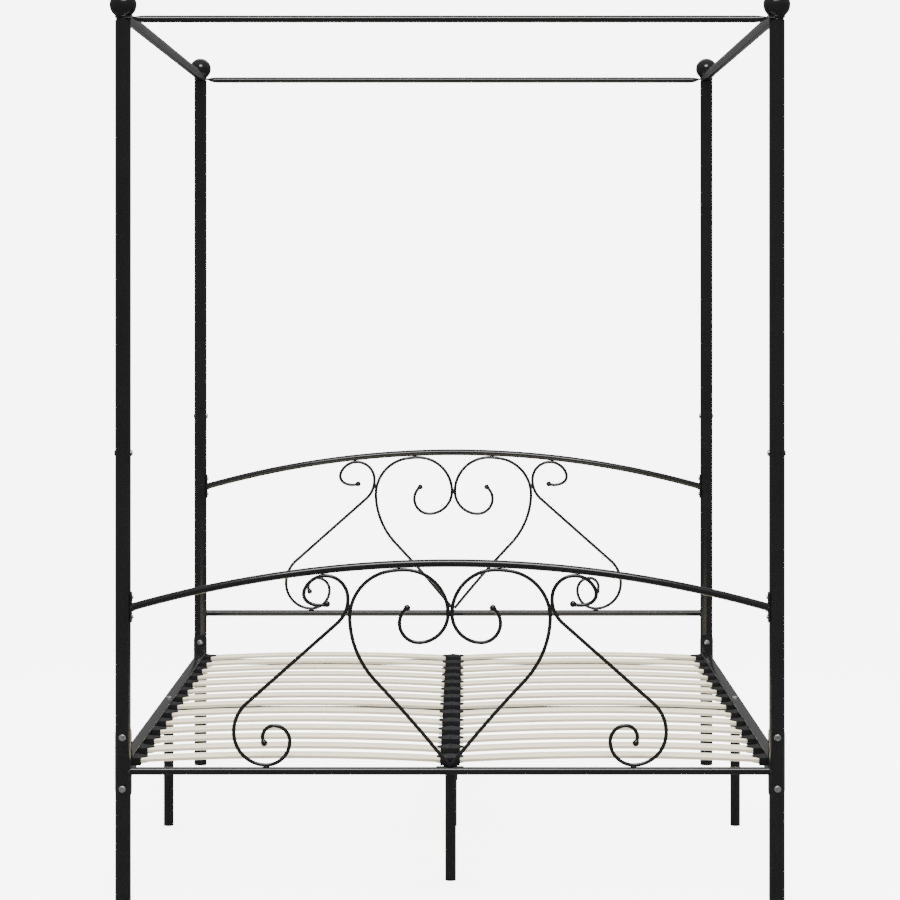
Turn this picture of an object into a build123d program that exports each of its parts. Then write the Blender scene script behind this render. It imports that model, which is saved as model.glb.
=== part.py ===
"""Four poster canopy bed: welded steel tube frame, scrolled head and foot panels, sprung slats.

Millimetres, +Z up, foot end towards -Y. The origin is on the floor under the middle of the bed.
Every sub-part is written to parts/NODE.step.
"""
import os
from math import asin, cos, degrees, radians, sin, sqrt

from build123d import *

# ---------------------------------------------------------------- overall layout
post_spacing_x = 1450.0        # between post axes, across the bed
post_spacing_y = 2050.0        # between post axes, along the bed
post_top_z = 1960.0            # open end of the upper post
post_joint_z = 1022.0          # seam between lower and upper post

# ---------------------------------------------------------------- posts and their fittings
post_d = 35.0
post_wall = 1.5
slip = 0.25                    # radial clearance of a plug or sleeve in a tube
coupler_length = 120.0
coupler_wall = 1.5
joint_bolt_drop = 22.0         # joint bolt below the seam
joint_bolt_d = 6.0
bolt_slack = 0.5               # hole diameter over bolt diameter
joint_head_d = 14.0
joint_head_h = 4.0
joint_nut_d = 12.0
joint_nut_h = 2.0
head_edge_share = 0.6          # edge round of a button head over its height
cut_over = 1.0                 # how far a cutter reaches past what it cuts
insert_depth = 30.0            # threaded insert in the post top
stud_d = 10.0

# ---------------------------------------------------------------- canopy
end_rail_d = 16.0              # canopy rails across the head and the foot
side_rail_canopy_d = 25.0      # canopy rails along the sides
canopy_wall = 1.2
tab_edge_flat = 0.05           # flat left on a tab's rounded edge
canopy_tab_t = 3.0             # flattened rail end
canopy_tab_d = 32.0            # rounded end of the tab, about the stud
canopy_tab_clear = 5.0         # flat tab beyond the post's surface
canopy_taper = 24.0            # length over which a tube flattens into its tab
end_rail_tab_lift = 1.8        # tab middle above the tube's middle
finial_ball_d = 60.0
finial_collar_d = 37.0
finial_collar_h = 4.5
finial_neck_d = 36.0
finial_wall = 2.0
finial_edge_share = 0.4        # edge round over collar height

# ---------------------------------------------------------------- head and foot panels
lower_rail_z = 295.0           # axis of the foot panel's lower rail
head_panel_lift = 140.0        # the head panel stands this much higher
panel_tube_d = 17.5
panel_tube_wall = 1.2
arch_rise = 461.0              # arch apex above the lower rail, axis to axis
arch_sagitta = 97.4
wire_d = 8.5
wire_ball_d = 15.0
weld_gap = 0.1                 # between pieces that are welded together
plate_h = 67.0
plate_w = 22.0
plate_t = 3.0
plate_fit = 0.2                # plate or bracket to post surface
plate_screw_d = 5.0
plate_screw_head_d = 9.0
plate_screw_head_h = 2.6
plate_screw_spacing = 44.0
plate_screw_reach = 6.0        # screw tip inside the post's bore
spigot_slack = 0.55            # radial clearance of a spigot in its bar
spigot_length = 30.0

# ---------------------------------------------------------------- side rails and brackets
side_rail_w = 25.0
side_rail_h = 40.0
side_rail_wall = 1.5
side_rail_z = 305.0            # middle of the rail
side_rail_inset = 5.0          # rail middle inside the post axis
side_rail_joint_y = -65.0
rail_insert_length = 110.0
bracket_t = 2.5
bracket_wrap = 72.0            # half angle that the bracket reaches round the post
corner_bolt_d = 8.0
corner_bolt_spacing = 114.0
corner_head_d = 15.5
corner_head_h = 5.0
corner_cap_h = 6.0             # cap nut
corner_thread_l = 4.0          # bolt inside a cap nut
corner_socket_af = 7.0
corner_socket_depth = 3.0
bracket_offset = 9.0           # bracket middle above the rail at the foot, below it at the head
bracket_edge = 22.0            # bracket beyond its bolts
bracket_round_share = 0.9      # corner round over half the bracket's width

# ---------------------------------------------------------------- centre beam, bars and legs
beam_w = 29.0                  # the beam is as deep as the cross bars, so that their undersides are level
beam_wall = 1.5
saddle_w = 61.0
saddle_t = 2.0
leg_d = 25.0
leg_wall = 1.5
leg_plate_t = 3.0
leg_plate_l = 62.0
end_leg_y = 744.5              # outer centre legs from the middle of the bed
leg_bolt_d = 8.0
leg_head_d = 15.0
leg_head_h = 3.5
leg_bolt_reach = 12.0          # bolt below the top of a leg
cap_flange = 4.0
cap_plug = 16.0
cap_plug_wall = 2.0
cap_edge_r = 1.2

# ---------------------------------------------------------------- slats and holders
slat_rows = 14
first_slat = 56.0              # first slat middle from the foot post axes
slat_w = 63.0
slat_t = 8.0
slat_camber = 10.0
slat_end_z = 313.0
slat_edge_r = 2.5
slat_centre_gap = 8.0          # slat end from the middle of the bed
holder_cover = 14.0            # slat length held inside a holder
holder_wall = 3.0
holder_edge_r = 2.0
holder_slack = 0.7             # pocket over slat, each side
holder_lip = 8.0               # how far a lip reaches past a centre holder
side_lip = 13.0                # and past a side holder
lip_root_share = 0.55          # lip width at its root over the holder's
lip_tip_share = 0.45           # and at its tip over its root
side_holder_depth = 19.5
side_holder_sole = 2.0         # a side holder's bottom wall over its other walls
holder_peg_d = 8.0
holder_peg_l = 6.0
holder_peg_drop = 1.0          # a side holder's peg below the slat ends

# ---------------------------------------------------------------- derived values
post_r = post_d / 2
post_inner_r = post_r - post_wall
panel_r = panel_tube_d / 2
spigot_d = 2 * (panel_r - panel_tube_wall - spigot_slack)
beam_h = panel_tube_d
wire_r = wire_d / 2
half_x = post_spacing_x / 2
half_y = post_spacing_y / 2
joint_bolt_z = post_joint_z - joint_bolt_drop
rail_x = half_x - side_rail_inset
rail_inner_x = rail_x - side_rail_w / 2
rail_bottom_z = side_rail_z - side_rail_h / 2
rail_top_z = side_rail_z + side_rail_h / 2
bracket_in_r = post_r + plate_fit
bracket_out_r = bracket_in_r + bracket_t
plate_in_r = post_r + plate_fit
plate_out_r = plate_in_r + plate_t
arch_half_chord = half_x - plate_out_r
arch_radius = (arch_half_chord ** 2 + arch_sagitta ** 2) / (2 * arch_sagitta)
bar_z = lower_rail_z
beam_top_z = bar_z + beam_h / 2
beam_bottom_z = bar_z - beam_h / 2
slat_pitch = (post_spacing_y - 2 * first_slat) / (slat_rows - 1)
slat_outer_x = rail_inner_x - (side_holder_depth - holder_cover)
holder_half_w = slat_w / 2 + holder_slack + holder_wall
saddle_out_r = panel_r + weld_gap + saddle_t
saddle_tail = first_slat - holder_half_w - 2 * slip
finial_base_z = post_top_z + 2 * canopy_tab_t
side_tab_z = post_top_z + canopy_tab_t / 2
end_tab_z = side_tab_z + canopy_tab_t
peg_z = slat_end_z - holder_peg_drop
STANDING = (Align.CENTER, Align.CENTER, Align.MIN)
LEFT, RIGHT = -1, 1
FOOT, HEAD = -1, 1
SIDES = {"left": LEFT, "right": RIGHT}
ENDS = {"foot": FOOT, "head": HEAD}


# ---------------------------------------------------------------- helpers
def rod(radius, start, end):
    """Solid cylinder between two points."""
    start, end = Vector(*start), Vector(*end)
    axis = end - start
    return Plane(start, z_dir=axis) * Cylinder(radius, axis.length, align=STANDING)


def tube(radius, wall, start, end):
    """Round tube between two points."""
    return rod(radius, start, end) - rod(radius - wall, start, end)


def block(x0, x1, y0, y1, z0, z1):
    """Box between two corners."""
    return Pos((x0 + x1) / 2, (y0 + y1) / 2, (z0 + z1) / 2) * Box(x1 - x0, y1 - y0, z1 - z0)


def dome(radius, height, start, direction):
    """Button head: a disc with a rounded outer edge, seated at start and facing direction."""
    head = Cylinder(radius, height, align=STANDING)
    head = fillet(head.edges().group_by(Axis.Z)[-1], min(radius, height) * head_edge_share)
    return Plane(Vector(*start), z_dir=Vector(*direction)) * head


def hex_socket(across_flats, depth, start, direction):
    """Hexagon hole cutter whose mouth is at start and which sinks against direction."""
    profile = RegularPolygon(across_flats / 2, 6, major_radius=False)
    return Plane(Vector(*start), z_dir=-Vector(*direction)) * extrude(profile, depth)


def group(solids):
    """Separate solids kept together in one node."""
    return Compound(children=list(solids))


def save(shape, node):
    export_step(shape, f"parts/{node}.step")


# ---------------------------------------------------------------- posts
def corner_bolt_heights(end):
    """Heights of the two corner bolts at one end of the bed."""
    middle = side_rail_z - end * bracket_offset
    return [middle - corner_bolt_spacing / 2, middle + corner_bolt_spacing / 2]


def plate_screw_heights(end):
    """Heights of the two screws in an arch end plate."""
    middle = panel_base(end) + arch_rise - arch_sagitta
    return [middle - plate_screw_spacing / 2, middle + plate_screw_spacing / 2]


def panel_base(end):
    """Height of a panel's lower rail axis."""
    return lower_rail_z + (head_panel_lift if end == HEAD else 0)


def lower_post(side, end):
    x, y = side * half_x, end * half_y
    body = tube(post_r, post_wall, (x, y, cap_flange), (x, y, post_joint_z))
    for z in corner_bolt_heights(end):
        body -= rod((corner_bolt_d + bolt_slack) / 2, (x, y - post_d, z), (x, y + post_d, z))
    for z in plate_screw_heights(end):
        body -= rod((plate_screw_d + bolt_slack) / 2, (x, y, z), (x - side * post_d, y, z))
    body -= rod((joint_bolt_d + bolt_slack) / 2, (x - post_d, y, joint_bolt_z), (x + post_d, y, joint_bolt_z))
    return body


def upper_post(side, end):
    x, y = side * half_x, end * half_y
    return tube(post_r, post_wall, (x, y, post_joint_z), (x, y, post_top_z))


def post_coupler(side, end):
    x, y = side * half_x, end * half_y
    low, high = post_joint_z - coupler_length / 2, post_joint_z + coupler_length / 2
    sleeve = tube(post_inner_r - slip, coupler_wall, (x, y, low), (x, y, high))
    hole = rod((joint_bolt_d + bolt_slack) / 2, (x - post_d, y, joint_bolt_z), (x + post_d, y, joint_bolt_z))
    return sleeve - hole


def post_joint_bolt(side, end):
    """Through bolt with its dome head on the inner side of the post."""
    y, z = end * half_y, joint_bolt_z
    inner = side * (half_x - post_r)
    outer = side * (half_x + post_r)
    shank = rod(joint_bolt_d / 2, (inner, y, z), (outer + side * joint_nut_h, y, z))
    return shank + dome(joint_head_d / 2, joint_head_h, (inner, y, z), (-side, 0, 0))


def post_joint_nut(side, end):
    y, z = end * half_y, joint_bolt_z
    outer = side * (half_x + post_r)
    nut = rod(joint_nut_d / 2, (outer, y, z), (outer + side * joint_nut_h, y, z))
    return nut - rod(joint_bolt_d / 2, (outer, y, z), (outer + side * joint_nut_h, y, z))


def post_top_insert(side, end):
    x, y = side * half_x, end * half_y
    return tube(post_inner_r - slip, post_inner_r - slip - stud_d / 2,
                (x, y, post_top_z - insert_depth), (x, y, post_top_z))


def finial(side, end):
    """Ball on a collar, turned in one piece, bored from below for the stud."""
    x, y = side * half_x, end * half_y
    ball_r = finial_ball_d / 2
    neck_r = finial_neck_d / 2
    ball_z = finial_base_z + finial_collar_h + sqrt(ball_r ** 2 - neck_r ** 2)
    collar = Cylinder(finial_collar_d / 2, finial_collar_h, align=STANDING)
    collar = fillet(collar.edges().group_by(Axis.Z)[-1], finial_collar_h * finial_edge_share)
    top = finial_base_z + finial_collar_h
    ball = Pos(x, y, ball_z) * (Sphere(ball_r) - Sphere(ball_r - finial_wall))
    ball -= rod(ball_r, (x, y, ball_z - ball_r - cut_over), (x, y, top))
    return Pos(x, y, finial_base_z) * collar + ball - rod(stud_d / 2, (x, y, finial_base_z), (x, y, top))


def finial_stud(side, end):
    x, y = side * half_x, end * half_y
    return rod(stud_d / 2, (x, y, post_top_z - insert_depth), (x, y, finial_base_z + finial_collar_h))


# ---------------------------------------------------------------- canopy rails
def canopy_rail(length, tube_d, tab_z):
    """Tube along X whose ends are pinched shut and flattened into round tabs about the studs."""
    tab_start = length / 2 - post_r - canopy_tab_clear
    tube_end = tab_start - canopy_taper
    outer = Cylinder(tube_d / 2, 2 * tube_end)
    bore = Cylinder(tube_d / 2 - canopy_wall, 2 * (tube_end - canopy_taper))
    body = Rot(0, 90, 0) * (outer - bore)
    end_face = Plane((tube_end, 0, 0), z_dir=(1, 0, 0)) * Circle(tube_d / 2)
    tab_face = Plane((tab_start, 0, tab_z), x_dir=(0, 1, 0), z_dir=(1, 0, 0))
    tab_face = tab_face * RectangleRounded(canopy_tab_d, canopy_tab_t, canopy_tab_t / 2 - tab_edge_flat)
    taper = loft([end_face.face(), tab_face.face()])
    tab = block(tab_start, length / 2, -canopy_tab_d / 2, canopy_tab_d / 2,
                tab_z - canopy_tab_t / 2, tab_z + canopy_tab_t / 2)
    tab += Pos(length / 2, 0, tab_z) * Cylinder(canopy_tab_d / 2, canopy_tab_t)
    tab -= Pos(length / 2, 0, tab_z) * Cylinder((stud_d + bolt_slack) / 2, canopy_tab_t)
    end = taper + tab
    return body + end + mirror(end, about=Plane.YZ)


# ---------------------------------------------------------------- scrolled panels
# Each scroll is one bent wire, given as (bend radius, turn in degrees); a turn to the left is
# positive, and a straight stretch is (length, 0). Left hand pieces, about the lower rail's middle.
# The lists give the style of the bends; fit_heart and fit_side_scroll bring them to the panel's size.
heart_heading = 128.7
heart_bends = [(2916.0, 4.83), (211.4, -41.1), (105.3, -81.9), (187.9, -11.4),
               (97.0, -88.9), (64.8, -91.1), (42.9, -141.9)]
heart_lobe_from = 3            # the bend where the inner lobe starts
heart_end_gap = 0.5            # wire end from the saddles at the foot of the heart
side_foot_x = -408.2           # where the side scroll rests on the lower rail
side_inner_bends = [(52.3, 90.0), (34.9, 90.0), (25.4, 120.8)]
side_outer_bends = [(71.9, -82.8), (84.3, -55.7), (270.9, 0.0), (70.5, 55.9),
                    (49.8, 151.8), (22.4, 83.3), (49.2, 47.3)]
side_straight = 2              # the straight stretch that the fit lengthens
fit_rounds = 4
fit_steps = 18
heart_scale_range = (0.4, 2.5)
heart_lean_range = 10.0        # degrees each way


def bent_edges(start, heading, bends):
    """Tangent chain of arcs and straights in the XY plane."""
    edges = []
    point, direction = Vector(*start), Vector(1, 0).rotate(Axis.Z, heading)
    for size, turn in bends:
        if turn:
            edge = JernArc(point, direction, size, turn)
        else:
            edge = Line(point, point + direction * size)
        edges.append(edge.edge())
        point, direction = edge @ 1, edge % 1
    return edges


def bent_wire(start, heading, bends):
    """Round wire along a bent path, stood up in the XZ plane, with a ball on its far end."""
    path = Wire(bent_edges(start, heading, bends))
    section = Plane(path @ 0, z_dir=path % 0) * Circle(wire_r)
    wire = sweep(section, path=path) + Pos(path @ 1) * Sphere(wire_ball_d / 2)
    return Plane.XZ * wire


def place_panel_piece(piece, side, end):
    """Move a left hand piece, drawn about the lower rail's middle, to its side and end."""
    if side == RIGHT:
        piece = mirror(piece, about=Plane.YZ)
    return Pos(0, end * half_y, panel_base(end)) * piece


def arch_line():
    """Axis of the arch above the lower rail's axis, in the XY plane."""
    half_angle = degrees(asin(arch_half_chord / arch_radius))
    start = (-arch_half_chord, arch_rise - arch_sagitta)
    return JernArc(start, Vector(1, 0).rotate(Axis.Z, half_angle), arch_radius, -2 * half_angle)


def last_free(low, high, is_free):
    """Largest value between low and high that is_free allows, found by halving."""
    for _ in range(fit_steps):
        middle = (low + high) / 2
        low, high = (middle, high) if is_free(middle) else (low, middle)
    return low


def heart_run(scale, heading):
    """Start, heading and bends of the heart at one scale; its wire end stands clear of the saddles."""
    start = (-(wire_r * sin(radians(heading)) + 2 * weld_gap),
             saddle_out_r + heart_end_gap - wire_r * cos(radians(heading)))
    return start, heading, [(size * scale, turn) for size, turn in heart_bends]


def fit_heart():
    """Scale the heart until it meets the arch, and lean it until its lobe meets the other half."""
    reach = panel_r + wire_r + weld_gap
    arch = arch_line().edge()
    middle = Line((0, 2 * panel_r), (0, arch_rise)).edge()
    scale, heading = 1.0, heart_heading

    def clear_of_arch(value):
        return Wire(bent_edges(*heart_run(value, heading))).distance_to(arch) > reach

    def clear_of_twin(value):
        lobe = bent_edges(*heart_run(scale, value))[heart_lobe_from:]
        return Wire(lobe).distance_to(middle) > wire_r + weld_gap / 2

    for _ in range(fit_rounds):
        scale = last_free(*heart_scale_range, clear_of_arch)
        upright = 180 - heart_heading
        heading = 180 - last_free(upright - heart_lean_range, upright + heart_lean_range,
                                  lambda value: clear_of_twin(180 - value))
    return heart_run(scale, heading)


def side_runs(foot_x, straight):
    """The side scroll's two runs from its seat on the rail, with one length for the long straight."""
    seat = (foot_x, panel_r + wire_r + weld_gap)
    outer = list(side_outer_bends)
    outer[side_straight] = (straight, 0.0)
    return (seat, 0, side_inner_bends), (seat, 180, outer)


def fit_side_scroll(heart):
    """Lengthen the side scroll until it meets the arch, and slide it until it meets the heart."""
    arch = arch_line().edge()
    heart_path = Wire(bent_edges(*heart))
    foot_x, straight = side_foot_x, side_outer_bends[side_straight][0]

    def clear_of_arch(value):
        outer = Wire(bent_edges(*side_runs(foot_x, value)[1]))
        return outer.distance_to(arch) > panel_r + wire_r + weld_gap

    def clear_of_heart(value):
        outer = Wire(bent_edges(*side_runs(value, straight)[1]))
        return outer.distance_to(heart_path) > wire_d + weld_gap

    for _ in range(fit_rounds):
        straight = last_free(side_outer_bends[side_straight][0] / 3, 2 * arch_rise, clear_of_arch)
        foot_x = last_free(-half_x, -half_x / 4, clear_of_heart)
    return side_runs(foot_x, straight)


def heart_scroll(run):
    return bent_wire(*run)


def side_scroll(runs):
    inner, outer = runs
    return bent_wire(*inner) + bent_wire(*outer)


def arch_tube(end):
    """Arched top tube between the two end plates."""
    path = arch_line()
    section = Plane(path @ 0, z_dir=path % 0)
    outer = sweep(section * Circle(panel_r), path=path)
    inner = sweep(section * Circle(panel_r - panel_tube_wall), path=path)
    arch = Pos(0, end * half_y, panel_base(end)) * (Plane.XZ * (outer - inner))
    y = end * half_y
    for side in (LEFT, RIGHT):
        arch -= rod(plate_out_r, (side * half_x, y, 0), (side * half_x, y, post_joint_z))
    return arch


def cross_tube(y, z, half_length):
    """Straight round tube across the bed."""
    return tube(panel_r, panel_tube_wall, (-half_length, y, z), (half_length, y, z))


def mid_cross_bar():
    """Bar between the side rails, drilled for the middle leg's bolt."""
    bar = cross_tube(0, bar_z, rail_inner_x - weld_gap)
    hole_r = (leg_bolt_d + bolt_slack) / 2
    return bar - rod(hole_r, (0, 0, bar_z - panel_tube_d), (0, 0, bar_z + panel_tube_d))


def post_to_post_bar(y, z):
    """Cross tube whose ends are coped to the posts."""
    bar = cross_tube(y, z, half_x)
    for side in (LEFT, RIGHT):
        bar -= rod(post_r + plate_fit, (side * half_x, y, z - post_d), (side * half_x, y, z + post_d))
    return bar


def arch_end_plate(side, end):
    """Curved plate on the post's inner side that carries the arch end."""
    x, y = side * half_x, end * half_y
    z = panel_base(end) + arch_rise - arch_sagitta
    shell = tube(plate_out_r, plate_t, (x, y, z - plate_h / 2), (x, y, z + plate_h / 2))
    edge = plate_w / 2
    inner = x - side * (plate_out_r + cut_over)
    keep = block(min(x, inner), max(x, inner), y - edge, y + edge, z - plate_h / 2, z + plate_h / 2)
    plate = shell & keep
    for screw_z in plate_screw_heights(end):
        plate -= rod((plate_screw_d + bolt_slack) / 2, (x, y, screw_z), (x - side * post_d, y, screw_z))
    return plate


def plate_screw(side, end, z):
    x, y = side * half_x, end * half_y
    seat = x - side * plate_out_r
    shank = rod(plate_screw_d / 2, (seat, y, z), (x - side * (post_inner_r - plate_screw_reach), y, z))
    return shank + dome(plate_screw_head_d / 2, plate_screw_head_h, (seat, y, z), (-side, 0, 0))


def spigot(side, y, z, wall_x, root):
    """Short pin that a bar end slips over, standing on a wall at wall_x."""
    start = side * (wall_x + root)
    return rod(spigot_d / 2, (start, y, z), (side * (wall_x - spigot_length), y, z))


def bar_spigots():
    """Pins on the posts and on the side rails, coped to what they stand on."""
    pins = []
    for side in (LEFT, RIGHT):
        for y, z in ((-half_y, bar_z), (half_y, bar_z), (half_y, panel_base(HEAD))):
            pin = spigot(side, y, z, half_x - post_r, post_r)
            pins.append(pin - rod(post_r, (side * half_x, y, z - post_d), (side * half_x, y, z + post_d)))
        pins.append(spigot(side, 0, bar_z, rail_inner_x, 0))
    return pins


# ---------------------------------------------------------------- side rails
def side_rail_half(side, end):
    """Half of a side rail, coped to the bracket at its end and open at the mid joint."""
    x = side * rail_x
    end_y = end * half_y
    y0, y1 = sorted((side_rail_joint_y, end_y))
    w, h, t = side_rail_w / 2, side_rail_h / 2, side_rail_wall
    body = block(x - w, x + w, y0, y1, side_rail_z - h, side_rail_z + h)
    body -= block(x - w + t, x + w - t, y0, y1, side_rail_z - h + t, side_rail_z + h - t)
    body -= rod(bracket_out_r, (side * half_x, end_y, rail_bottom_z), (side * half_x, end_y, rail_top_z))
    body -= rod(panel_r + plate_fit, (0, end_y, bar_z), (side * half_x, end_y, bar_z))
    for y in slat_row_positions():
        body -= rod(holder_peg_d / 2 + slip, (side * rail_inner_x, y, peg_z), (x, y, peg_z))
    if y0 < 0 < y1:
        body -= rod((leg_bolt_d + bolt_slack) / 2, (x, 0, rail_bottom_z), (x, 0, rail_top_z))
    return body


def side_rail_insert(side):
    """Inner channel that lines up the two halves of a side rail."""
    x = side * rail_x
    w = side_rail_w / 2 - side_rail_wall - slip
    h = side_rail_h / 2 - side_rail_wall - slip
    y0, y1 = side_rail_joint_y - rail_insert_length / 2, side_rail_joint_y + rail_insert_length / 2
    t = side_rail_wall
    peg_room = holder_peg_l + cut_over
    body = block(x - w, x + w, y0, y1, side_rail_z - h, side_rail_z + h)
    body -= block(x - w + t, x + w - t, y0, y1, side_rail_z - h + t, side_rail_z + h - t)
    near = side * rail_inner_x
    window = sorted((near, near + side * peg_room))
    for y in slat_row_positions():
        body -= block(window[0], window[1], y - holder_peg_d, y + holder_peg_d,
                      peg_z - holder_peg_d, side_rail_z + h)
    return body


def side_rail_bracket(side, end):
    """Curved plate that hugs the post's bed side, with rounded corners and two bolt holes."""
    x, y = side * half_x, end * half_y
    heights = corner_bolt_heights(end)
    low, high = heights[0] - bracket_edge, heights[1] + bracket_edge
    shell = tube(bracket_out_r, bracket_t, (x, y, low), (x, y, high))
    half_w = bracket_out_r * sin(radians(bracket_wrap))
    outline = Plane((x, y, (low + high) / 2), x_dir=(1, 0, 0), z_dir=(0, -1, 0))
    outline = outline * RectangleRounded(2 * half_w, high - low, half_w * bracket_round_share)
    keep = extrude(outline, end * (bracket_out_r + cut_over))
    plate = shell & keep
    for z in heights:
        plate -= rod((corner_bolt_d + bolt_slack) / 2, (x, y - post_d, z), (x, y + post_d, z))
    return plate - rod(panel_r + plate_fit, (x, y, bar_z), (x - side * post_d, y, bar_z))


def corner_bolt(side, end, z):
    """Socket head bolt from the outside of the post, through the bracket."""
    x, y = side * half_x, end * half_y
    seat = y + end * post_r
    tip = y - end * (bracket_out_r + corner_thread_l)
    head = dome(corner_head_d / 2, corner_head_h, (x, seat, z), (0, end, 0))
    face = (x, seat + end * corner_head_h, z)
    bolt = head + rod(corner_bolt_d / 2, (x, seat, z), (x, tip, z))
    return bolt - hex_socket(corner_socket_af, corner_socket_depth, face, (0, end, 0))


def corner_nut(side, end, z):
    """Round cap nut on the bed side of the bracket."""
    x, y = side * half_x, end * half_y
    seat = y - end * bracket_out_r
    cap = dome(corner_head_d / 2, corner_cap_h, (x, seat, z), (0, -end, 0))
    return cap - rod(corner_bolt_d / 2, (x, seat, z), (x, seat - end * corner_thread_l, z))


# ---------------------------------------------------------------- centre beam and legs
def centre_beam(end):
    """Half of the centre beam, between its end bar and the mid cross bar."""
    gap = saddle_out_r + weld_gap
    y0, y1 = sorted((end * gap, end * (half_y - gap)))
    w, h, t = beam_w / 2, beam_h / 2, beam_wall
    body = block(-w, w, y0, y1, bar_z - h, bar_z + h)
    body -= block(-w + t, w - t, y0, y1, bar_z - h + t, bar_z + h - t)
    for y in slat_row_positions():
        if y0 < y < y1:
            body -= rod(holder_peg_d / 2 + slip, (0, y, bar_z), (0, y, beam_top_z))
    y = end * end_leg_y
    return body - rod((leg_bolt_d + bolt_slack) / 2, (0, y, beam_bottom_z), (0, y, beam_top_z))


def beam_saddle(y, end):
    """Plate over a bar's upper quarter with a tail that lies on the beam."""
    half_w = saddle_w / 2
    shell = tube(saddle_out_r, saddle_t, (-half_w, y, bar_z), (half_w, y, bar_z))
    hook = shell & block(-half_w, half_w, *sorted((y, y + end * saddle_out_r)), bar_z, bar_z + saddle_out_r)
    tail = block(-beam_w / 2, beam_w / 2, *sorted((y, y + end * saddle_tail)),
                 beam_top_z + weld_gap, bar_z + saddle_out_r)
    tail -= rod(saddle_out_r - saddle_t, (-saddle_w, y, bar_z), (saddle_w, y, bar_z))
    saddle = hook + tail
    if y == 0:
        saddle -= rod((leg_bolt_d + bolt_slack) / 2, (0, 0, bar_z), (0, 0, bar_z + 2 * panel_r))
    return saddle


def leg(x, y, top_z):
    """Leg tube with a welded head plate."""
    plate_bottom = top_z - leg_plate_t
    body = tube(leg_d / 2, leg_wall, (x, y, cap_flange), (x, y, plate_bottom))
    plate = block(x - leg_d / 2, x + leg_d / 2, y - leg_plate_l / 2, y + leg_plate_l / 2, plate_bottom, top_z)
    return body + plate - rod((leg_bolt_d + bolt_slack) / 2, (x, y, plate_bottom - cut_over), (x, y, top_z))


def leg_bolt(x, y, seat_z, plate_z):
    """Bolt from above, down through a rail, beam or bar into the leg's head plate."""
    shank = rod(leg_bolt_d / 2, (x, y, plate_z - leg_bolt_reach), (x, y, seat_z))
    return shank + dome(leg_head_d / 2, leg_head_h, (x, y, seat_z), (0, 0, 1))


def foot_cap(x, y, radius, wall):
    """Plastic cap plugged into the bottom of a tube."""
    flange = rod(radius, (x, y, 0), (x, y, cap_flange))
    flange = fillet(flange.edges().group_by(Axis.Z)[0], cap_edge_r)
    plug_r = radius - wall - slip
    return flange + tube(plug_r, cap_plug_wall, (x, y, cap_flange), (x, y, cap_flange + cap_plug))


# ---------------------------------------------------------------- slats and holders
def slat_row_positions():
    return [-half_y + first_slat + slat_pitch * row for row in range(slat_rows)]


def slat(side):
    """Cambered slat with rounded edges, drawn at Y = 0."""
    middle = (slat_centre_gap + slat_outer_x) / 2
    crown = (middle, slat_end_z + slat_camber)
    path = ThreePointArc((slat_centre_gap, slat_end_z), crown, (slat_outer_x, slat_end_z))
    section = Plane(path @ 0, x_dir=(0, 0, 1), z_dir=path % 0)
    section = section * RectangleRounded(slat_w, slat_t, slat_edge_r)
    body = Plane.XZ * sweep(section, path=path)
    return body if side == RIGHT else mirror(body, about=Plane.YZ)


def lip(root_x, reach, z0, z1, half_w):
    """Tongue that tapers away from a holder."""
    tip, end_x = half_w * lip_tip_share, root_x + reach
    outline = Polyline((root_x, -half_w), (end_x, -tip), (end_x, tip), (root_x, half_w), close=True)
    return Pos(0, 0, z0) * extrude(make_face(outline), z1 - z0)


def holder_half(root, mouth, lip_reach, bottom):
    """One pocket of a slat holder, opening towards +X at mouth; drawn at Y = 0."""
    half_w = holder_half_w
    slope_room = 4 * slat_camber / (slat_outer_x - slat_centre_gap) * holder_cover
    pocket_z0 = slat_end_z - slat_t / 2 - holder_slack / 2
    pocket_z1 = slat_end_z + slat_t / 2 + holder_slack / 2 + slope_room
    top = pocket_z1 + holder_wall
    body = block(root, mouth, -half_w, half_w, bottom, top)
    body = fillet(body.edges().filter_by(Axis.X).group_by(Axis.Z)[-1], holder_edge_r)
    body -= block(mouth - holder_cover - holder_slack, mouth, -half_w + holder_wall, half_w - holder_wall,
                  pocket_z0, pocket_z1)
    lip_root = half_w * lip_root_share
    upper = lip(mouth, lip_reach, pocket_z1 + slope_room, top, lip_root)
    lower = lip(mouth, lip_reach, pocket_z0 - holder_wall, pocket_z0, lip_root)
    return body + upper + lower


def centre_holder():
    """Double holder on the centre beam, with a peg into its top wall; drawn at Y = 0."""
    mouth = slat_centre_gap + holder_cover
    half = holder_half(0, mouth, holder_lip, beam_top_z)
    peg = rod(holder_peg_d / 2, (0, 0, beam_top_z - holder_peg_l), (0, 0, beam_top_z))
    return half + mirror(half, about=Plane.YZ) + peg


def side_holder(side):
    """Holder on the inner wall of a side rail, with a peg into it; drawn at Y = 0."""
    bottom = slat_end_z - slat_t / 2 - holder_slack / 2 - holder_wall - side_holder_sole
    half = Pos(-rail_inner_x, 0, 0) * holder_half(0, side_holder_depth, side_lip, bottom)
    half += rod(holder_peg_d / 2, (-rail_inner_x - holder_peg_l, 0, peg_z), (-rail_inner_x, 0, peg_z))
    return half if side == LEFT else mirror(half, about=Plane.YZ)


def rows_of(piece, positions):
    return group(Pos(0, y, 0) * piece for y in positions)


# ---------------------------------------------------------------- build every node
def corners():
    return [(side, end) for end in (FOOT, HEAD) for side in (LEFT, RIGHT)]


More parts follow.
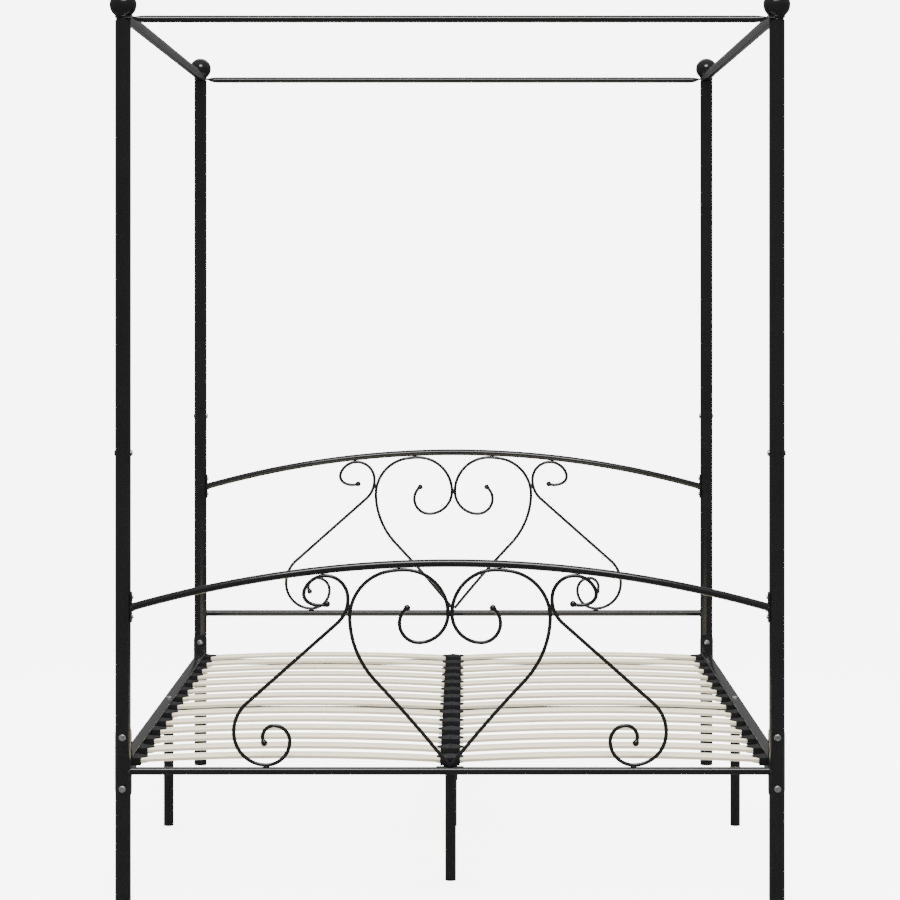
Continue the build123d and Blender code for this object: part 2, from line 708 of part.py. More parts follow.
def build_posts():
    for end_name, end in ENDS.items():
        for side_name, side in SIDES.items():
            save(lower_post(side, end), f"{end_name}_post_lower_{side_name}")
            save(upper_post(side, end), f"{end_name}_post_upper_{side_name}")
    save(group(post_coupler(s, e) for s, e in corners()), "post_couplers")
    save(group(post_joint_bolt(s, e) for s, e in corners()), "post_joint_bolts")
    save(group(post_joint_nut(s, e) for s, e in corners()), "post_joint_nuts")
    save(group(post_top_insert(s, e) for s, e in corners()), "post_top_inserts")
    save(group(finial(s, e) for s, e in corners()), "ball_finials")
    save(group(finial_stud(s, e) for s, e in corners()), "finial_studs")


def build_canopy():
    side_tab_drop = (side_rail_canopy_d - canopy_tab_t) / 2
    for end_name, end in ENDS.items():
        rail = canopy_rail(post_spacing_x, end_rail_d, end_rail_tab_lift)
        save(Pos(0, end * half_y, end_tab_z - end_rail_tab_lift) * rail, f"canopy_rail_{end_name}")
    for side_name, side in SIDES.items():
        rail = Rot(0, 0, 90) * canopy_rail(post_spacing_y, side_rail_canopy_d, -side_tab_drop)
        save(Pos(side * half_x, 0, side_tab_z + side_tab_drop) * rail, f"canopy_rail_{side_name}")


def build_panels():
    heart_shape = fit_heart()
    heart, scroll = heart_scroll(heart_shape), side_scroll(fit_side_scroll(heart_shape))
    for end_name, end in ENDS.items():
        save(arch_tube(end), f"{end_name}_panel_arch_tube")
        save(post_to_post_bar(end * half_y, panel_base(end)), f"{end_name}_panel_lower_rail")
        for side_name, side in SIDES.items():
            save(place_panel_piece(heart, side, end), f"{end_name}_heart_scroll_{side_name}")
            save(place_panel_piece(scroll, side, end), f"{end_name}_side_scroll_{side_name}")
    save(group(arch_end_plate(s, e) for s, e in corners()), "arch_end_plates")
    screws = [plate_screw(s, e, z) for s, e in corners() for z in plate_screw_heights(e)]
    save(group(screws), "panel_plate_screws")
    save(post_to_post_bar(half_y, bar_z), "head_cross_bar")
    save(mid_cross_bar(), "mid_cross_bar")
    save(group(bar_spigots()), "bar_spigots")


def build_side_rails():
    for end_name, end in (("front", FOOT), ("rear", HEAD)):
        for side_name, side in SIDES.items():
            save(side_rail_half(side, end), f"side_rail_{end_name}_{side_name}")
    save(group(side_rail_insert(s) for s in (LEFT, RIGHT)), "side_rail_inserts")
    save(group(side_rail_bracket(s, e) for s, e in corners()), "side_rail_brackets")
    spots = [(s, e, z) for s, e in corners() for z in corner_bolt_heights(e)]
    save(group(corner_bolt(*spot) for spot in spots), "corner_bolts")
    save(group(corner_nut(*spot) for spot in spots), "corner_nuts")


def build_centre():
    save(centre_beam(FOOT), "centre_beam_front")
    save(centre_beam(HEAD), "centre_beam_rear")
    saddles = [beam_saddle(-half_y, HEAD), beam_saddle(0, FOOT)]
    saddles += [beam_saddle(0, HEAD), beam_saddle(half_y, FOOT)]
    save(group(saddles), "beam_saddles")
    save(leg(-rail_x, 0, rail_bottom_z), "side_leg_left")
    save(leg(rail_x, 0, rail_bottom_z), "side_leg_right")
    for name, y in (("front", -end_leg_y), ("middle", 0.0), ("rear", end_leg_y)):
        save(leg(0, y, beam_bottom_z), f"centre_leg_{name}")
    bolts = [leg_bolt(s * rail_x, 0, rail_top_z, rail_bottom_z) for s in (LEFT, RIGHT)]
    bolts += [leg_bolt(0, y, beam_top_z, beam_bottom_z) for y in (-end_leg_y, end_leg_y)]
    bolts.append(leg_bolt(0, 0, bar_z + saddle_out_r, beam_bottom_z))
    save(group(bolts), "leg_bolts")
    caps = [foot_cap(s * half_x, e * half_y, post_r, post_wall) for s, e in corners()]
    caps += [foot_cap(s * rail_x, 0, leg_d / 2, leg_wall) for s in (LEFT, RIGHT)]
    caps += [foot_cap(0, y, leg_d / 2, leg_wall) for y in (-end_leg_y, 0, end_leg_y)]
    save(group(caps), "foot_caps")


def build_slats():
    rows = slat_row_positions()
    for side_name, side in SIDES.items():
        save(rows_of(slat(side), rows), f"slats_{side_name}")
        save(rows_of(side_holder(side), rows), f"side_slat_holders_{side_name}")
    save(rows_of(centre_holder(), rows), "centre_slat_holders")


os.makedirs("parts", exist_ok=True)
build_posts()
build_canopy()
build_panels()
build_side_rails()
build_centre()
build_slats()
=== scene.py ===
"""Four poster canopy bed: the finished pieces, their finishes, and the studio round them.

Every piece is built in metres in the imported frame's own coordinates.  Head end towards +Y, +Z up.
"""
from math import asin, atan2, ceil, cos, hypot, pi, radians, sin, sqrt

import bmesh
import bpy
from bpy.props import FloatProperty, FloatVectorProperty, IntProperty, PointerProperty
from mathutils import Matrix, Vector


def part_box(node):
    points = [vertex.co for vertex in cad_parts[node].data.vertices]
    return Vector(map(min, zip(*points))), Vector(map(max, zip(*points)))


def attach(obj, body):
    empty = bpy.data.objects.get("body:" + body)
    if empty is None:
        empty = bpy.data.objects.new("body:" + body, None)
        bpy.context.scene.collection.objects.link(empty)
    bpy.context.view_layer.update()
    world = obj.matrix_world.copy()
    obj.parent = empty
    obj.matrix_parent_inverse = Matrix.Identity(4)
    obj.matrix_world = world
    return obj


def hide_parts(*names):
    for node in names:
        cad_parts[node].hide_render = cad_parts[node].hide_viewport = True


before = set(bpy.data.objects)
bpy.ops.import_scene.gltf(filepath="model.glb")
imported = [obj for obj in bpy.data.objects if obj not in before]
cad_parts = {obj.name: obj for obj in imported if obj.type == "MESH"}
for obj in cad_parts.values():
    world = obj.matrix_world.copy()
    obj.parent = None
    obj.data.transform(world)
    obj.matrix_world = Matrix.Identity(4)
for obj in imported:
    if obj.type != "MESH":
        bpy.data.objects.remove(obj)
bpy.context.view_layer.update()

bl_info = {
    "name": "Canopy bed finishing",
    "version": (1, 0, 0),
    "blender": (4, 5, 0),
    "location": "View3D > Sidebar > Canopy Bed",
    "description": "Builds the finished pieces of a four poster canopy bed and its studio",
    "category": "Object",
}

MM = 0.001
LEFT, RIGHT = -1, 1
FOOT, HEAD = -1, 1
SIDES = {"left": LEFT, "right": RIGHT}
ENDS = {"foot": FOOT, "head": HEAD}
ROOT = "root"


# ---------------------------------------------------------------- what the frame says
def box(node):
    """Lowest corner, highest corner, middle and size of a frame node."""
    low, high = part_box(node)
    return low, high, (low + high) / 2, high - low


POST_LOW, _, POST_MIDDLE, POST_SIZE = box("foot_post_lower_right")
HALF_X, HALF_Y = POST_MIDDLE.x, -POST_MIDDLE.y
POST_R = POST_SIZE.x / 2
POST_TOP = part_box("foot_post_upper_right")[1].z
CAP_FLANGE = POST_LOW.z
PANEL_R = box("foot_panel_lower_rail")[3].z / 2
PANEL_Z = {end: box(f"{name}_panel_lower_rail")[2].z for name, end in ENDS.items()}
_, _, RAIL_MIDDLE, RAIL_SIZE = box("side_rail_front_right")
_, BEAM_HIGH, _, BEAM_SIZE = box("centre_beam_front")
TAB_T = (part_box("ball_finials")[0].z - POST_TOP) / 2
WELD_GAP = 0.1 * MM
PLATE_FIT = 0.2 * MM
RING_WELD = 1.5 * MM
MIRROR_X = Matrix.Scale(-1, 4, (1, 0, 0))
ALONG_X = Matrix.Rotation(pi / 2, 4, "Y")
TINY = 1e-6
MERGE = 1e-7

# Slat finish: height of one pale and one dark layer of ply in metres, share of each board's own tone in its
# face, and strength of the dark layered edge: the ply's own layers, darkened as painted shade between the
# slats.
PLY_LAYERS, BOARD_SHARE, EDGE_AND_SHADE_SHARE = 0.0016, 0.4, 0.8

# Welded wire shapes, drawn for the left hand piece about the middle of the lower rail, in mm.
# A bend is (radius, turn in degrees), left turns positive; a straight stretch is (length, 0).
HEART_START = (-3.517, 14.007)
HEART_HEADING = 128.688
HEART_BENDS = [(2907.56, 4.83), (210.79, -41.1), (105.0, -81.9), (187.36, -11.4),
               (96.72, -88.9), (64.61, -91.1), (42.78, -141.9)]
SIDE_FOOT_X = -407.635
SIDE_INNER_BENDS = [(52.3, 90.0), (34.9, 90.0), (25.4, 120.8)]
SIDE_OUTER_BENDS = [(71.9, -82.8), (84.3, -55.7), (268.345, 0.0), (70.5, 55.9),
                    (49.8, 151.8), (22.4, 83.3), (49.2, 47.3)]


# ---------------------------------------------------------------- sizes and colours
def length(name, millimetres, text):
    return FloatProperty(name=name, description=text, default=millimetres * MM, min=0.0, unit="LENGTH")


def colour(name, value, text):
    return FloatVectorProperty(name=name, description=text, default=value, size=3, min=0.0, max=1.0,
                               subtype="COLOR")


def amount(name, value, text):
    return FloatProperty(name=name, description=text, default=value, min=0.0)


class BED_PG_steelwork(bpy.types.PropertyGroup):
    """Sizes of the tube, wire and plate work."""
    post_wall: length("Post wall", 1.5, "Wall thickness of the posts")
    edge_break: length("Edge break", 0.35, "Small chamfer on cut tube ends")
    around_post: IntProperty(name="Post facets", description="Faces round a post", default=72, min=12)
    around_tube: IntProperty(name="Tube facets", description="Faces round a cross tube", default=40, min=12)
    around_wire: IntProperty(name="Wire facets", description="Faces round a wire", default=20, min=8)
    wire: length("Wire", 8.5, "Diameter of the scroll wire")
    wire_ball: length("Ball end", 15.0, "Diameter of the ball on a free wire end")
    tab_width: length("Tab width", 32.0, "Width of a flattened canopy rail end")
    tab_clear: length("Tab clearance", 5.0, "Flat tab beyond the post's surface")
    taper: length("Taper", 24.0, "Length over which a canopy rail flattens")
    ball: length("Finial ball", 60.0, "Diameter of the finial ball")
    collar: length("Finial collar", 37.0, "Diameter of the finial collar")
    end_rail: length("End canopy rail", 16.0, "Diameter of the canopy rails across the head and the foot")
    end_rail_lift: length("End rail tab", 1.8, "Tab of an end rail above the tube's middle")
    collar_height: length("Collar height", 4.5, "Height of the finial collar")
    neck: length("Finial neck", 36.0, "Diameter where the ball meets its collar")
    plate: length("End plate", 3.0, "Thickness of an arch end plate")
    bracket: length("Bracket", 2.5, "Thickness of a side rail bracket")
    bracket_wrap: FloatProperty(name="Bracket wrap", default=radians(72.0), subtype="ANGLE",
                                description="Half angle that a bracket reaches round its post")
    rail_corner: length("Rail corner", 2.5, "Outer corner radius of the square tubes")
    leg_plate: length("Leg plate", 3.0, "Thickness of the plate on top of a leg")
    bead_length: length("Weld length", 13.0, "Length of a weld between two wires")
    bead_width: length("Weld width", 5.0, "Width of a weld between two wires")


class BED_PG_slats(bpy.types.PropertyGroup):
    """Sizes of the slats and their holders."""
    rows: IntProperty(name="Rows", description="Rows of slats", default=14, min=2)
    width: length("Slat width", 63.0, "Width of a slat")
    thickness: length("Slat thickness", 8.0, "Thickness of a slat")
    edge: length("Slat edge", 2.5, "Radius of a slat's long edges")
    cover: length("Holder cover", 14.0, "Slat length inside a holder")
    wall: length("Holder wall", 3.0, "Wall of a moulded holder")
    slack: length("Pocket slack", 0.7, "Clearance of the pocket on each side of a slat")
    centre_tongue: length("Centre tongue", 8.0, "Reach of the tongues on a centre holder")
    side_tongue: length("Side tongue", 13.0, "Reach of the tongues on a side holder")
    side_depth: length("Side holder", 19.5, "Depth of a side holder from the rail")


class BED_PG_finish(bpy.types.PropertyGroup):
    """Colours of the finishes."""
    powder: colour("Powder coat", (0.0048, 0.0048, 0.0051), "Black powder coat on the steel")
    plastic: colour("Plastic", (0.006, 0.006, 0.0065), "Black moulded plastic")
    zinc: colour("Zinc", (0.66, 0.67, 0.68), "Bright zinc on the screws and bolts")
    timber: colour("Slat foil", (0.85, 0.775, 0.58), "Pale face of the slats")
    # painted shade: the slats' edge colour is the ply's layered edge made darker, to stand for the shade
    # between the slats
    shaded_timber_edge: colour("Slat edge", (0.40, 0.34, 0.25), "Layered edge of the slats")
    floor: colour("Floor", (0.86, 0.86, 0.86), "Pale studio floor")


class BED_PG_studio(bpy.types.PropertyGroup):
    """Camera and lights."""
    eye: FloatVectorProperty(name="Camera place", description="Where the camera stands", size=3,
                             default=(0.034, -8.0335, 1.364), subtype="XYZ", unit="LENGTH")
    lens: amount("Lens", 126.4, "Focal length on a 36 mm sensor, in millimetres")
    shift: FloatVectorProperty(name="Lens shift", description="Shift of the frame, right and up", size=2,
                               default=(-0.017, -0.179))
    backdrop: amount("Backdrop", 7.0, "Brightness of the plain backdrop")
    surround: amount("Surround", 0.16, "Brightness of the studio walls that the bed reflects")
    wash: amount("Wash", 2.0, "Brightness of the even light from all round")
    floor_lift: amount("Floor lift", 5.0, "Extra brightness of the floor near the bed")
    key: amount("Key light", 300.0, "Power of the overhead front softbox, in watts")
    top: amount("Top light", 230.0, "Power of the ceiling softbox, in watts")
    back: amount("Back light", 45.0, "Power of the softbox behind the head, in watts")


# ---------------------------------------------------------------- shaping
def sign(value):
    return 1 if value > 0 else -1


def at(x, y, z):
    return Matrix.Translation((x, y, z))


def facing(point, direction):
    """Matrix that stands a shape at a point with its Z axis along a direction."""
    return at(*point) @ Vector(direction).to_track_quat("Z", "Y").to_matrix().to_4x4()


def verts_of(geom):
    return [g for g in geom if isinstance(g, bmesh.types.BMVert)]


def whole(bm):
    return bm.verts[:] + bm.edges[:] + bm.faces[:]


def face_outwards(bm):
    bmesh.ops.recalc_face_normals(bm, faces=bm.faces)


def second_skin(bm):
    """Extrude every face in place and give the new verts, to be moved away."""
    return verts_of(bmesh.ops.extrude_face_region(bm, geom=bm.faces[:])["geom"])


def place(target, shape, matrices):
    """Add a copy of a shape to a piece at each matrix, then drop the shape."""
    for matrix in matrices:
        mesh = bpy.data.meshes.new("copy")
        shape.to_mesh(mesh)
        mesh.transform(matrix)
        if matrix.is_negative:
            mesh.flip_normals()
        target.from_mesh(mesh)
        bpy.data.meshes.remove(mesh)
    shape.free()


def arc(middle_r, middle_z, radius, start, end, count):
    """Points of an arc in a turning profile, angles in degrees from outwards towards up."""
    angles = [radians(start + (end - start) * i / count) for i in range(count + 1)]
    return [(middle_r + radius * cos(a), middle_z + radius * sin(a)) for a in angles]


def turned(profile, steps, closed=False):
    """Turn a profile of (radius, height) about Z."""
    bm = bmesh.new()
    verts = [bm.verts.new((max(r, 0.0), 0.0, z)) for r, z in profile]
    edges = [bm.edges.new(pair) for pair in zip(verts, verts[1:])]
    if closed:
        edges.append(bm.edges.new((verts[-1], verts[0])))
    bmesh.ops.spin(bm, geom=verts + edges, cent=(0, 0, 0), axis=(0, 0, 1), angle=2 * pi, steps=steps,
                   use_merge=True)
    bmesh.ops.remove_doubles(bm, verts=bm.verts, dist=MERGE)
    face_outwards(bm)
    return bm


def pipe(radius, wall, long, steps, edge):
    """Open tube from Z 0 upwards, its cut ends lightly broken."""
    inner = radius - wall
    profile = [(radius, edge), (radius, long - edge), (radius - edge, long),
               (inner, long), (inner, 0), (radius - edge, 0)]
    return turned(profile, steps, closed=True)


def bar(radius, long, steps):
    """Closed round bar centred on the origin along Z."""
    return turned([(0, -long / 2), (radius, -long / 2), (radius, long / 2), (0, long / 2)], steps)


def button(radius, height, socket=0.0, round_share=0.6, steps=48):
    """Bolt head on Z 0 with a rounded rim and, if it is given a size across the flats, a hexagon socket."""
    rim = min(radius, height) * round_share
    profile = [(0.0, 0.0), (radius, 0.0)] + arc(radius - rim, height - rim, rim, 0, 90, 6)
    if not socket:
        return turned(profile + [(0.0, height)], steps)
    wide = socket * 0.62
    profile += [(wide + 0.4 * MM, height), (wide, height - 0.25 * MM),
                (wide, height * 0.42), (0.0, height * 0.36)]
    bm = turned(profile, steps)
    for v in bm.verts:
        out = hypot(v.co.x, v.co.y)
        if v.co.z >= 0.1 * MM and TINY < out < wide + 0.1 * MM:
            off = (atan2(v.co.y, v.co.x) + pi / 6) % (pi / 3) - pi / 6
            size = socket / 2 / cos(off)
            v.co.x, v.co.y = v.co.x / out * size, v.co.y / out * size
    return bm


def ring_edges(verts):
    inside = set(verts)
    return list({e for v in verts for e in v.link_edges if all(o in inside for o in e.verts)})


def cap_open_ends(bm):
    bmesh.ops.holes_fill(bm, edges=[e for e in bm.edges if e.is_boundary], sides=0)
    face_outwards(bm)


def sharp_edges(bm, degrees_over=60.0):
    return [e for e in bm.edges if len(e.link_faces) == 2 and e.calc_face_angle(0.0) > radians(degrees_over)]


def soften(bm, geom, offset, segments=2, affect="EDGES"):
    bmesh.ops.bevel(bm, geom=geom, offset=offset, offset_type="OFFSET", segments=segments, profile=0.5,
                    affect=affect, clamp_overlap=True, material=-1)


def flat_sheet(half_x, half_y):
    bm = bmesh.new()
    bmesh.ops.create_grid(bm, x_segments=1, y_segments=1, size=1.0,
                          matrix=Matrix.Diagonal((half_x, half_y, 1, 1)))
    return bm


def seam(tube_r, bead_r):
    """Plain weld bead round a tube, about Z, its inside 1 mm below the tube's surface."""
    return turned(arc(tube_r + bead_r - 1.0 * MM, 0, bead_r, 0, 324, 9), 48, closed=True)


def open_ring(bm, segments, radius, matrix):
    return bmesh.ops.create_circle(bm, cap_ends=False, segments=segments, radius=radius,
                                   matrix=matrix)["verts"]


def block(size, corner, segments=3, edge=0.0, axis=1):
    """Square bar centred on the origin: long edges rounded by corner, cut ends broken by edge."""
    bm = bmesh.new()
    bmesh.ops.create_cube(bm, size=1.0, matrix=Matrix.Diagonal((*size, 1.0)))
    along = [e for e in bm.edges if abs((e.verts[0].co - e.verts[1].co)[axis]) > TINY]
    soften(bm, along, corner, segments)
    if edge:
        soften(bm, sharp_edges(bm), edge, 1)
    return bm


def wrapped_plate(half_angle, height, corner, inner_r, thickness, edge, cuts=16):
    """Plate with rounded corners, curved about Z and facing +X, centred on Z 0."""
    half_w = inner_r * half_angle
    bm = flat_sheet(half_w, height / 2)
    soften(bm, bm.verts[:], corner, 6, "VERTICES")
    for cut in range(1, cuts):
        x = half_w * (2 * cut / cuts - 1)
        bmesh.ops.bisect_plane(bm, geom=whole(bm), plane_co=(x, 0, 0), plane_no=(1, 0, 0))
    for v in second_skin(bm):
        v.co.z = thickness
    for v in bm.verts:
        turn, radius = v.co.x / inner_r, inner_r + v.co.z
        v.co = Vector((radius * cos(turn), radius * sin(turn), v.co.y))
    face_outwards(bm)
    soften(bm, sharp_edges(bm), edge, 2)
    return bm


def finish_piece(name, bm, nodes, material, smooth):
    """Make the object, give it its finish, and let it stand for its frame nodes."""
    mesh = bpy.data.meshes.new(name)
    bm.to_mesh(mesh)
    bm.free()
    mesh.shade_smooth()
    mesh.set_sharp_from_angle(angle=radians(smooth))
    mesh.materials.append(material)
    obj = bpy.data.objects.new(name, mesh)
    bpy.context.scene.collection.objects.link(obj)
    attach(obj, ROOT)
    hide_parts(*nodes)
    return obj


def steel_piece(node, bm):
    return finish_piece("steel_" + node, bm, [node], powder_coat(), 38.0)


def zinc_piece(node, bm):
    return finish_piece("zinc_" + node, bm, [node], bright_zinc(), 30.0)


def moulded_piece(node, bm):
    return finish_piece("moulded_" + node, bm, [node], moulded_plastic(), 30.0)


# ---------------------------------------------------------------- wires and welds
def wire_line(start, heading, bends, step=2.0):
    """Points and headings along a bent wire's middle, in mm in the panel's own plane."""
    x, z, angle = start[0], start[1], radians(heading)
    points = [(x, z, angle)]
    for size, turn in bends:
        run = size if not turn else abs(radians(turn)) * size
        count = max(1, ceil(run / step))
        for _ in range(count):
            half = radians(turn) / count / 2
            chord = run / count if not turn else 2 * size * abs(sin(half))
            angle += half
            x, z = x + chord * cos(angle), z + chord * sin(angle)
            angle += half
            points.append((x, z, angle))
    return points


def bent_wire(start, heading, bends, radius, around):
    """Ring of wire spun round each bend and pushed along each straight, in the XZ plane."""
    bm = bmesh.new()
    point = Vector((start[0], 0, start[1])) * MM
    direction = Vector((cos(radians(heading)), 0, sin(radians(heading))))
    ring = open_ring(bm, around, radius, facing(point, direction))
    for size, turn in bends:
        geom = ring + ring_edges(ring)
        if turn:
            left = Vector((-direction.z, 0, direction.x))
            centre = point + left * (size * MM if turn > 0 else -size * MM)
            steps = max(2, ceil(abs(turn) / 4.0), ceil(abs(radians(turn)) * size / 14.0))
            last = bmesh.ops.spin(bm, geom=geom, cent=centre, axis=(0, -1, 0), angle=radians(turn),
                                  steps=steps)["geom_last"]
            twist = Matrix.Rotation(radians(turn), 3, (0, -1, 0))
            point, direction = centre + twist @ (point - centre), twist @ direction
        else:
            last = bmesh.ops.extrude_edge_only(bm, edges=ring_edges(ring))["geom"]
            bmesh.ops.translate(bm, verts=verts_of(last), vec=direction * size * MM)
            point = point + direction * size * MM
        ring = verts_of(last)
    cap_open_ends(bm)
    return bm, point, direction


def ball_end(wire_r, ball_r):
    """Ball with a small neck, to stand on a wire's end with its middle at the origin."""
    neck = [(0, -ball_r * 1.15), (wire_r, -ball_r * 1.15), (wire_r * 1.03, -ball_r),
            (wire_r * 1.13, -ball_r * 0.885)]
    neck_angle = -48.9
    return turned(neck + arc(0, 0, ball_r, neck_angle, 90, 18), 24)


def bead(long, wide, deep):
    """Small rippled weld, long along X, deep through Y."""
    bm = bmesh.new()
    bmesh.ops.create_uvsphere(bm, u_segments=16, v_segments=20, radius=0.5, matrix=ALONG_X)
    for v in bm.verts:
        ripple = 1.0 + 0.07 * cos(v.co.x * 2 * pi * 5)
        v.co = Vector((v.co.x * long, v.co.y * deep * ripple, v.co.z * wide * ripple))
    return bm


def weld_ring(tube_r, bead_r, post_r):
    """Rippled weld round a tube that meets a post: the tube runs along Z, the post along X."""
    bm = turned(arc(tube_r + bead_r * 0.25, 0, bead_r, 0, 324, 9), 72, closed=True)
    for v in bm.verts:
        turn = atan2(v.co.y, v.co.x)
        out = 1.0 + 0.05 * cos(turn * 26) * min(1.0, abs(hypot(v.co.x, v.co.y) - tube_r) / bead_r)
        v.co.x, v.co.y = v.co.x * out, v.co.y * out
        v.co.z -= post_r - sqrt(max(post_r ** 2 - v.co.y ** 2, 0.0))
    return bm


def against_post(side):
    """Turn that points a weld ring's tube at a post, the post's own length kept upright."""
    return Matrix(((0, 0, -side), (0, side, 0), (1, 0, 0))).to_4x4()


# ---------------------------------------------------------------- node trees
def fill(tree, node, values):
    """Link or set a node's inputs."""
    for socket, value in values.items():
        if isinstance(value, bpy.types.NodeSocket):
            tree.links.new(value, node.inputs[socket])
        else:
            node.inputs[socket].default_value = value
    return node


def add_node(tree, kind, values=None, **settings):
    made = tree.nodes.new(kind)
    for key, value in settings.items():
        setattr(made, key, value)
    return fill(tree, made, values or {})


def maths(tree, operation, *values):
    return add_node(tree, "ShaderNodeMath", dict(enumerate(values)), operation=operation).outputs[0]


def vectors(tree, operation, *values):
    return add_node(tree, "ShaderNodeVectorMath", dict(enumerate(values)), operation=operation).outputs[0]


def ranged(tree, value, low=0.0, high=1.0, start=0.0, end=1.0):
    """Value that goes from low to high as the one given goes from start to end."""
    return add_node(tree, "ShaderNodeMapRange", {"Value": value, "From Min": start, "From Max": end,
                                                 "To Min": low, "To Max": high}).outputs["Result"]


def noise(tree, vector, scale, detail, **more):
    return add_node(tree, "ShaderNodeTexNoise",
                    {"Vector": vector, "Scale": scale, "Detail": detail, **more}).outputs["Fac"]


def fine_bump(tree, height, strength):
    return add_node(tree, "ShaderNodeBump",
                    {"Height": height, "Strength": strength, "Distance": 0.0004}).outputs["Normal"]


def upward(tree):
    """How far the surface faces up, from -1 to 1."""
    surface = add_node(tree, "ShaderNodeNewGeometry")
    return add_node(tree, "ShaderNodeSeparateXYZ", {"Vector": surface.outputs["Normal"]}).outputs["Z"]


def glow(tree, kind, strength):
    """White light from an Emission or a Background node."""
    return add_node(tree, f"ShaderNode{kind}", {"Color": (1, 1, 1, 1), "Strength": strength}).outputs[0]


def by_ray(tree, question, others, those):
    """Shader that is different for the rays that the Light Path node's question picks out."""
    ray = add_node(tree, "ShaderNodeLightPath").outputs[question]
    return add_node(tree, "ShaderNodeMixShader", {0: ray, 1: others, 2: those}).outputs[0]


def new_group(name, inputs, outputs):
    """Shader node group with named inputs (name, socket type, default) and outputs (name, type)."""
    tree = bpy.data.node_groups.new(name, "ShaderNodeTree")
    for label, kind, default in inputs:
        socket = tree.interface.new_socket(name=label, in_out="INPUT", socket_type=kind)
        if default is not None:
            socket.default_value = default
    for label, kind in outputs:
        tree.interface.new_socket(name=label, in_out="OUTPUT", socket_type=kind)
    return tree, tree.nodes.new("NodeGroupInput"), tree.nodes.new("NodeGroupOutput")


def use_group(tree, group, links):
    return add_node(tree, "ShaderNodeGroup", links, node_tree=group)


def once(maker):
    """Build a group or material the first time it is asked for."""
    made = {}

    def get():
        if "it" not in made:
            made["it"] = maker()
        return made["it"]
    return get


FLOAT, VECTOR = "NodeSocketFloat", "NodeSocketVector"


@once
def surface_texture():
    """Fine moulded or sprayed surface: a normal and a slow mottle."""
    tree, given, out = new_group("Surface texture", [
        ("Vector", VECTOR, None), ("Grain per metre", FLOAT, 700.0), ("Depth", FLOAT, 0.1),
        ("Patch per metre", FLOAT, 9.0)], [("Normal", VECTOR), ("Mottle", FLOAT)])
    where = given.outputs["Vector"]
    fine = noise(tree, where, given.outputs["Grain per metre"], 2.0)
    slow = noise(tree, where, given.outputs["Patch per metre"], 5.0, Roughness=0.62)
    fill(tree, out, {"Normal": fine_bump(tree, fine, given.outputs["Depth"]),
                     "Mottle": ranged(tree, slow, start=0.32, end=0.68)})
    return tree


@once
def settled_dust():
    """Faint dust on what faces up, broken by noise."""
    tree, given, out = new_group("Settled dust", [("Vector", VECTOR, None), ("Amount", FLOAT, 0.05)],
                                 [("Mask", FLOAT)])
    up = ranged(tree, upward(tree), start=0.35)
    speck = ranged(tree, noise(tree, given.outputs["Vector"], 55.0, 6.0, Roughness=0.7), start=0.35, end=0.75)
    both = maths(tree, "MULTIPLY", up, speck)
    fill(tree, out, {"Mask": maths(tree, "MULTIPLY", both, given.outputs["Amount"])})
    return tree


def new_material(name):
    material = bpy.data.materials.new(name)
    material.use_nodes = True
    tree = material.node_tree
    tree.nodes.clear()
    shader = tree.nodes.new("ShaderNodeBsdfPrincipled")
    out = tree.nodes.new("ShaderNodeOutputMaterial")
    tree.links.new(shader.outputs["BSDF"], out.inputs["Surface"])
    where = add_node(tree, "ShaderNodeTexCoord").outputs["Object"]
    return material, tree, shader, where


def mix_colours(tree, share, first, second):
    """Colour that goes from first to second."""
    first, second = [c if isinstance(c, bpy.types.NodeSocket) else (*c[:3], 1.0) for c in (first, second)]
    return add_node(tree, "ShaderNodeMix", {0: share, 6: first, 7: second}, data_type="RGBA").outputs[2]


def shades(base, dark, light):
    return [c * dark for c in base], [min(1.0, c * light) for c in base]


def coated(name, base, grain, depth, gloss, dust, sockets):
    """Black coating or moulding: mottled colour, uneven gloss, fine skin and a trace of dust."""
    material, tree, shader, where = new_material(name)
    skin = use_group(tree, surface_texture(), {"Vector": where, "Grain per metre": grain, "Depth": depth})
    settled = use_group(tree, settled_dust(), {"Vector": where, "Amount": dust})
    mottle = skin.outputs["Mottle"]
    tone = mix_colours(tree, mottle, *shades(base, 0.88, 1.15))
    fill(tree, shader, {"Base Color": mix_colours(tree, settled.outputs["Mask"], tone, (0.30, 0.29, 0.28)),
                        "Roughness": ranged(tree, mottle, gloss * 0.9, gloss * 1.12),
                        "Normal": skin.outputs["Normal"], **sockets})
    return material


@once
def powder_coat():
    return coated("Black powder coat", bpy.context.scene.bed_finish.powder, 620.0, 0.005, 0.17, 0.002,
                  {"Specular IOR Level": 0.5, "Coat Weight": 0.25, "Coat Roughness": 0.12})


@once
def moulded_plastic():
    return coated("Black moulded plastic", bpy.context.scene.bed_finish.plastic, 1500.0, 0.15, 0.5, 0.01,
                  {"Specular IOR Level": 0.2})


@once
def bright_zinc():
    """Zinc plate: metal with fine turning marks and a slightly cloudy skin."""
    material, tree, shader, where = new_material("Bright zinc")
    skin = use_group(tree, surface_texture(), {"Vector": where, "Grain per metre": 2600.0, "Depth": 0.12,
                                               "Patch per metre": 160.0})
    mottle = skin.outputs["Mottle"]
    tone = mix_colours(tree, mottle, *shades(bpy.context.scene.bed_finish.zinc, 0.86, 1.1))
    fill(tree, shader, {"Base Color": tone, "Roughness": ranged(tree, mottle, 0.24, 0.38),
                        "Normal": skin.outputs["Normal"], "Metallic": 1.0})
    return material


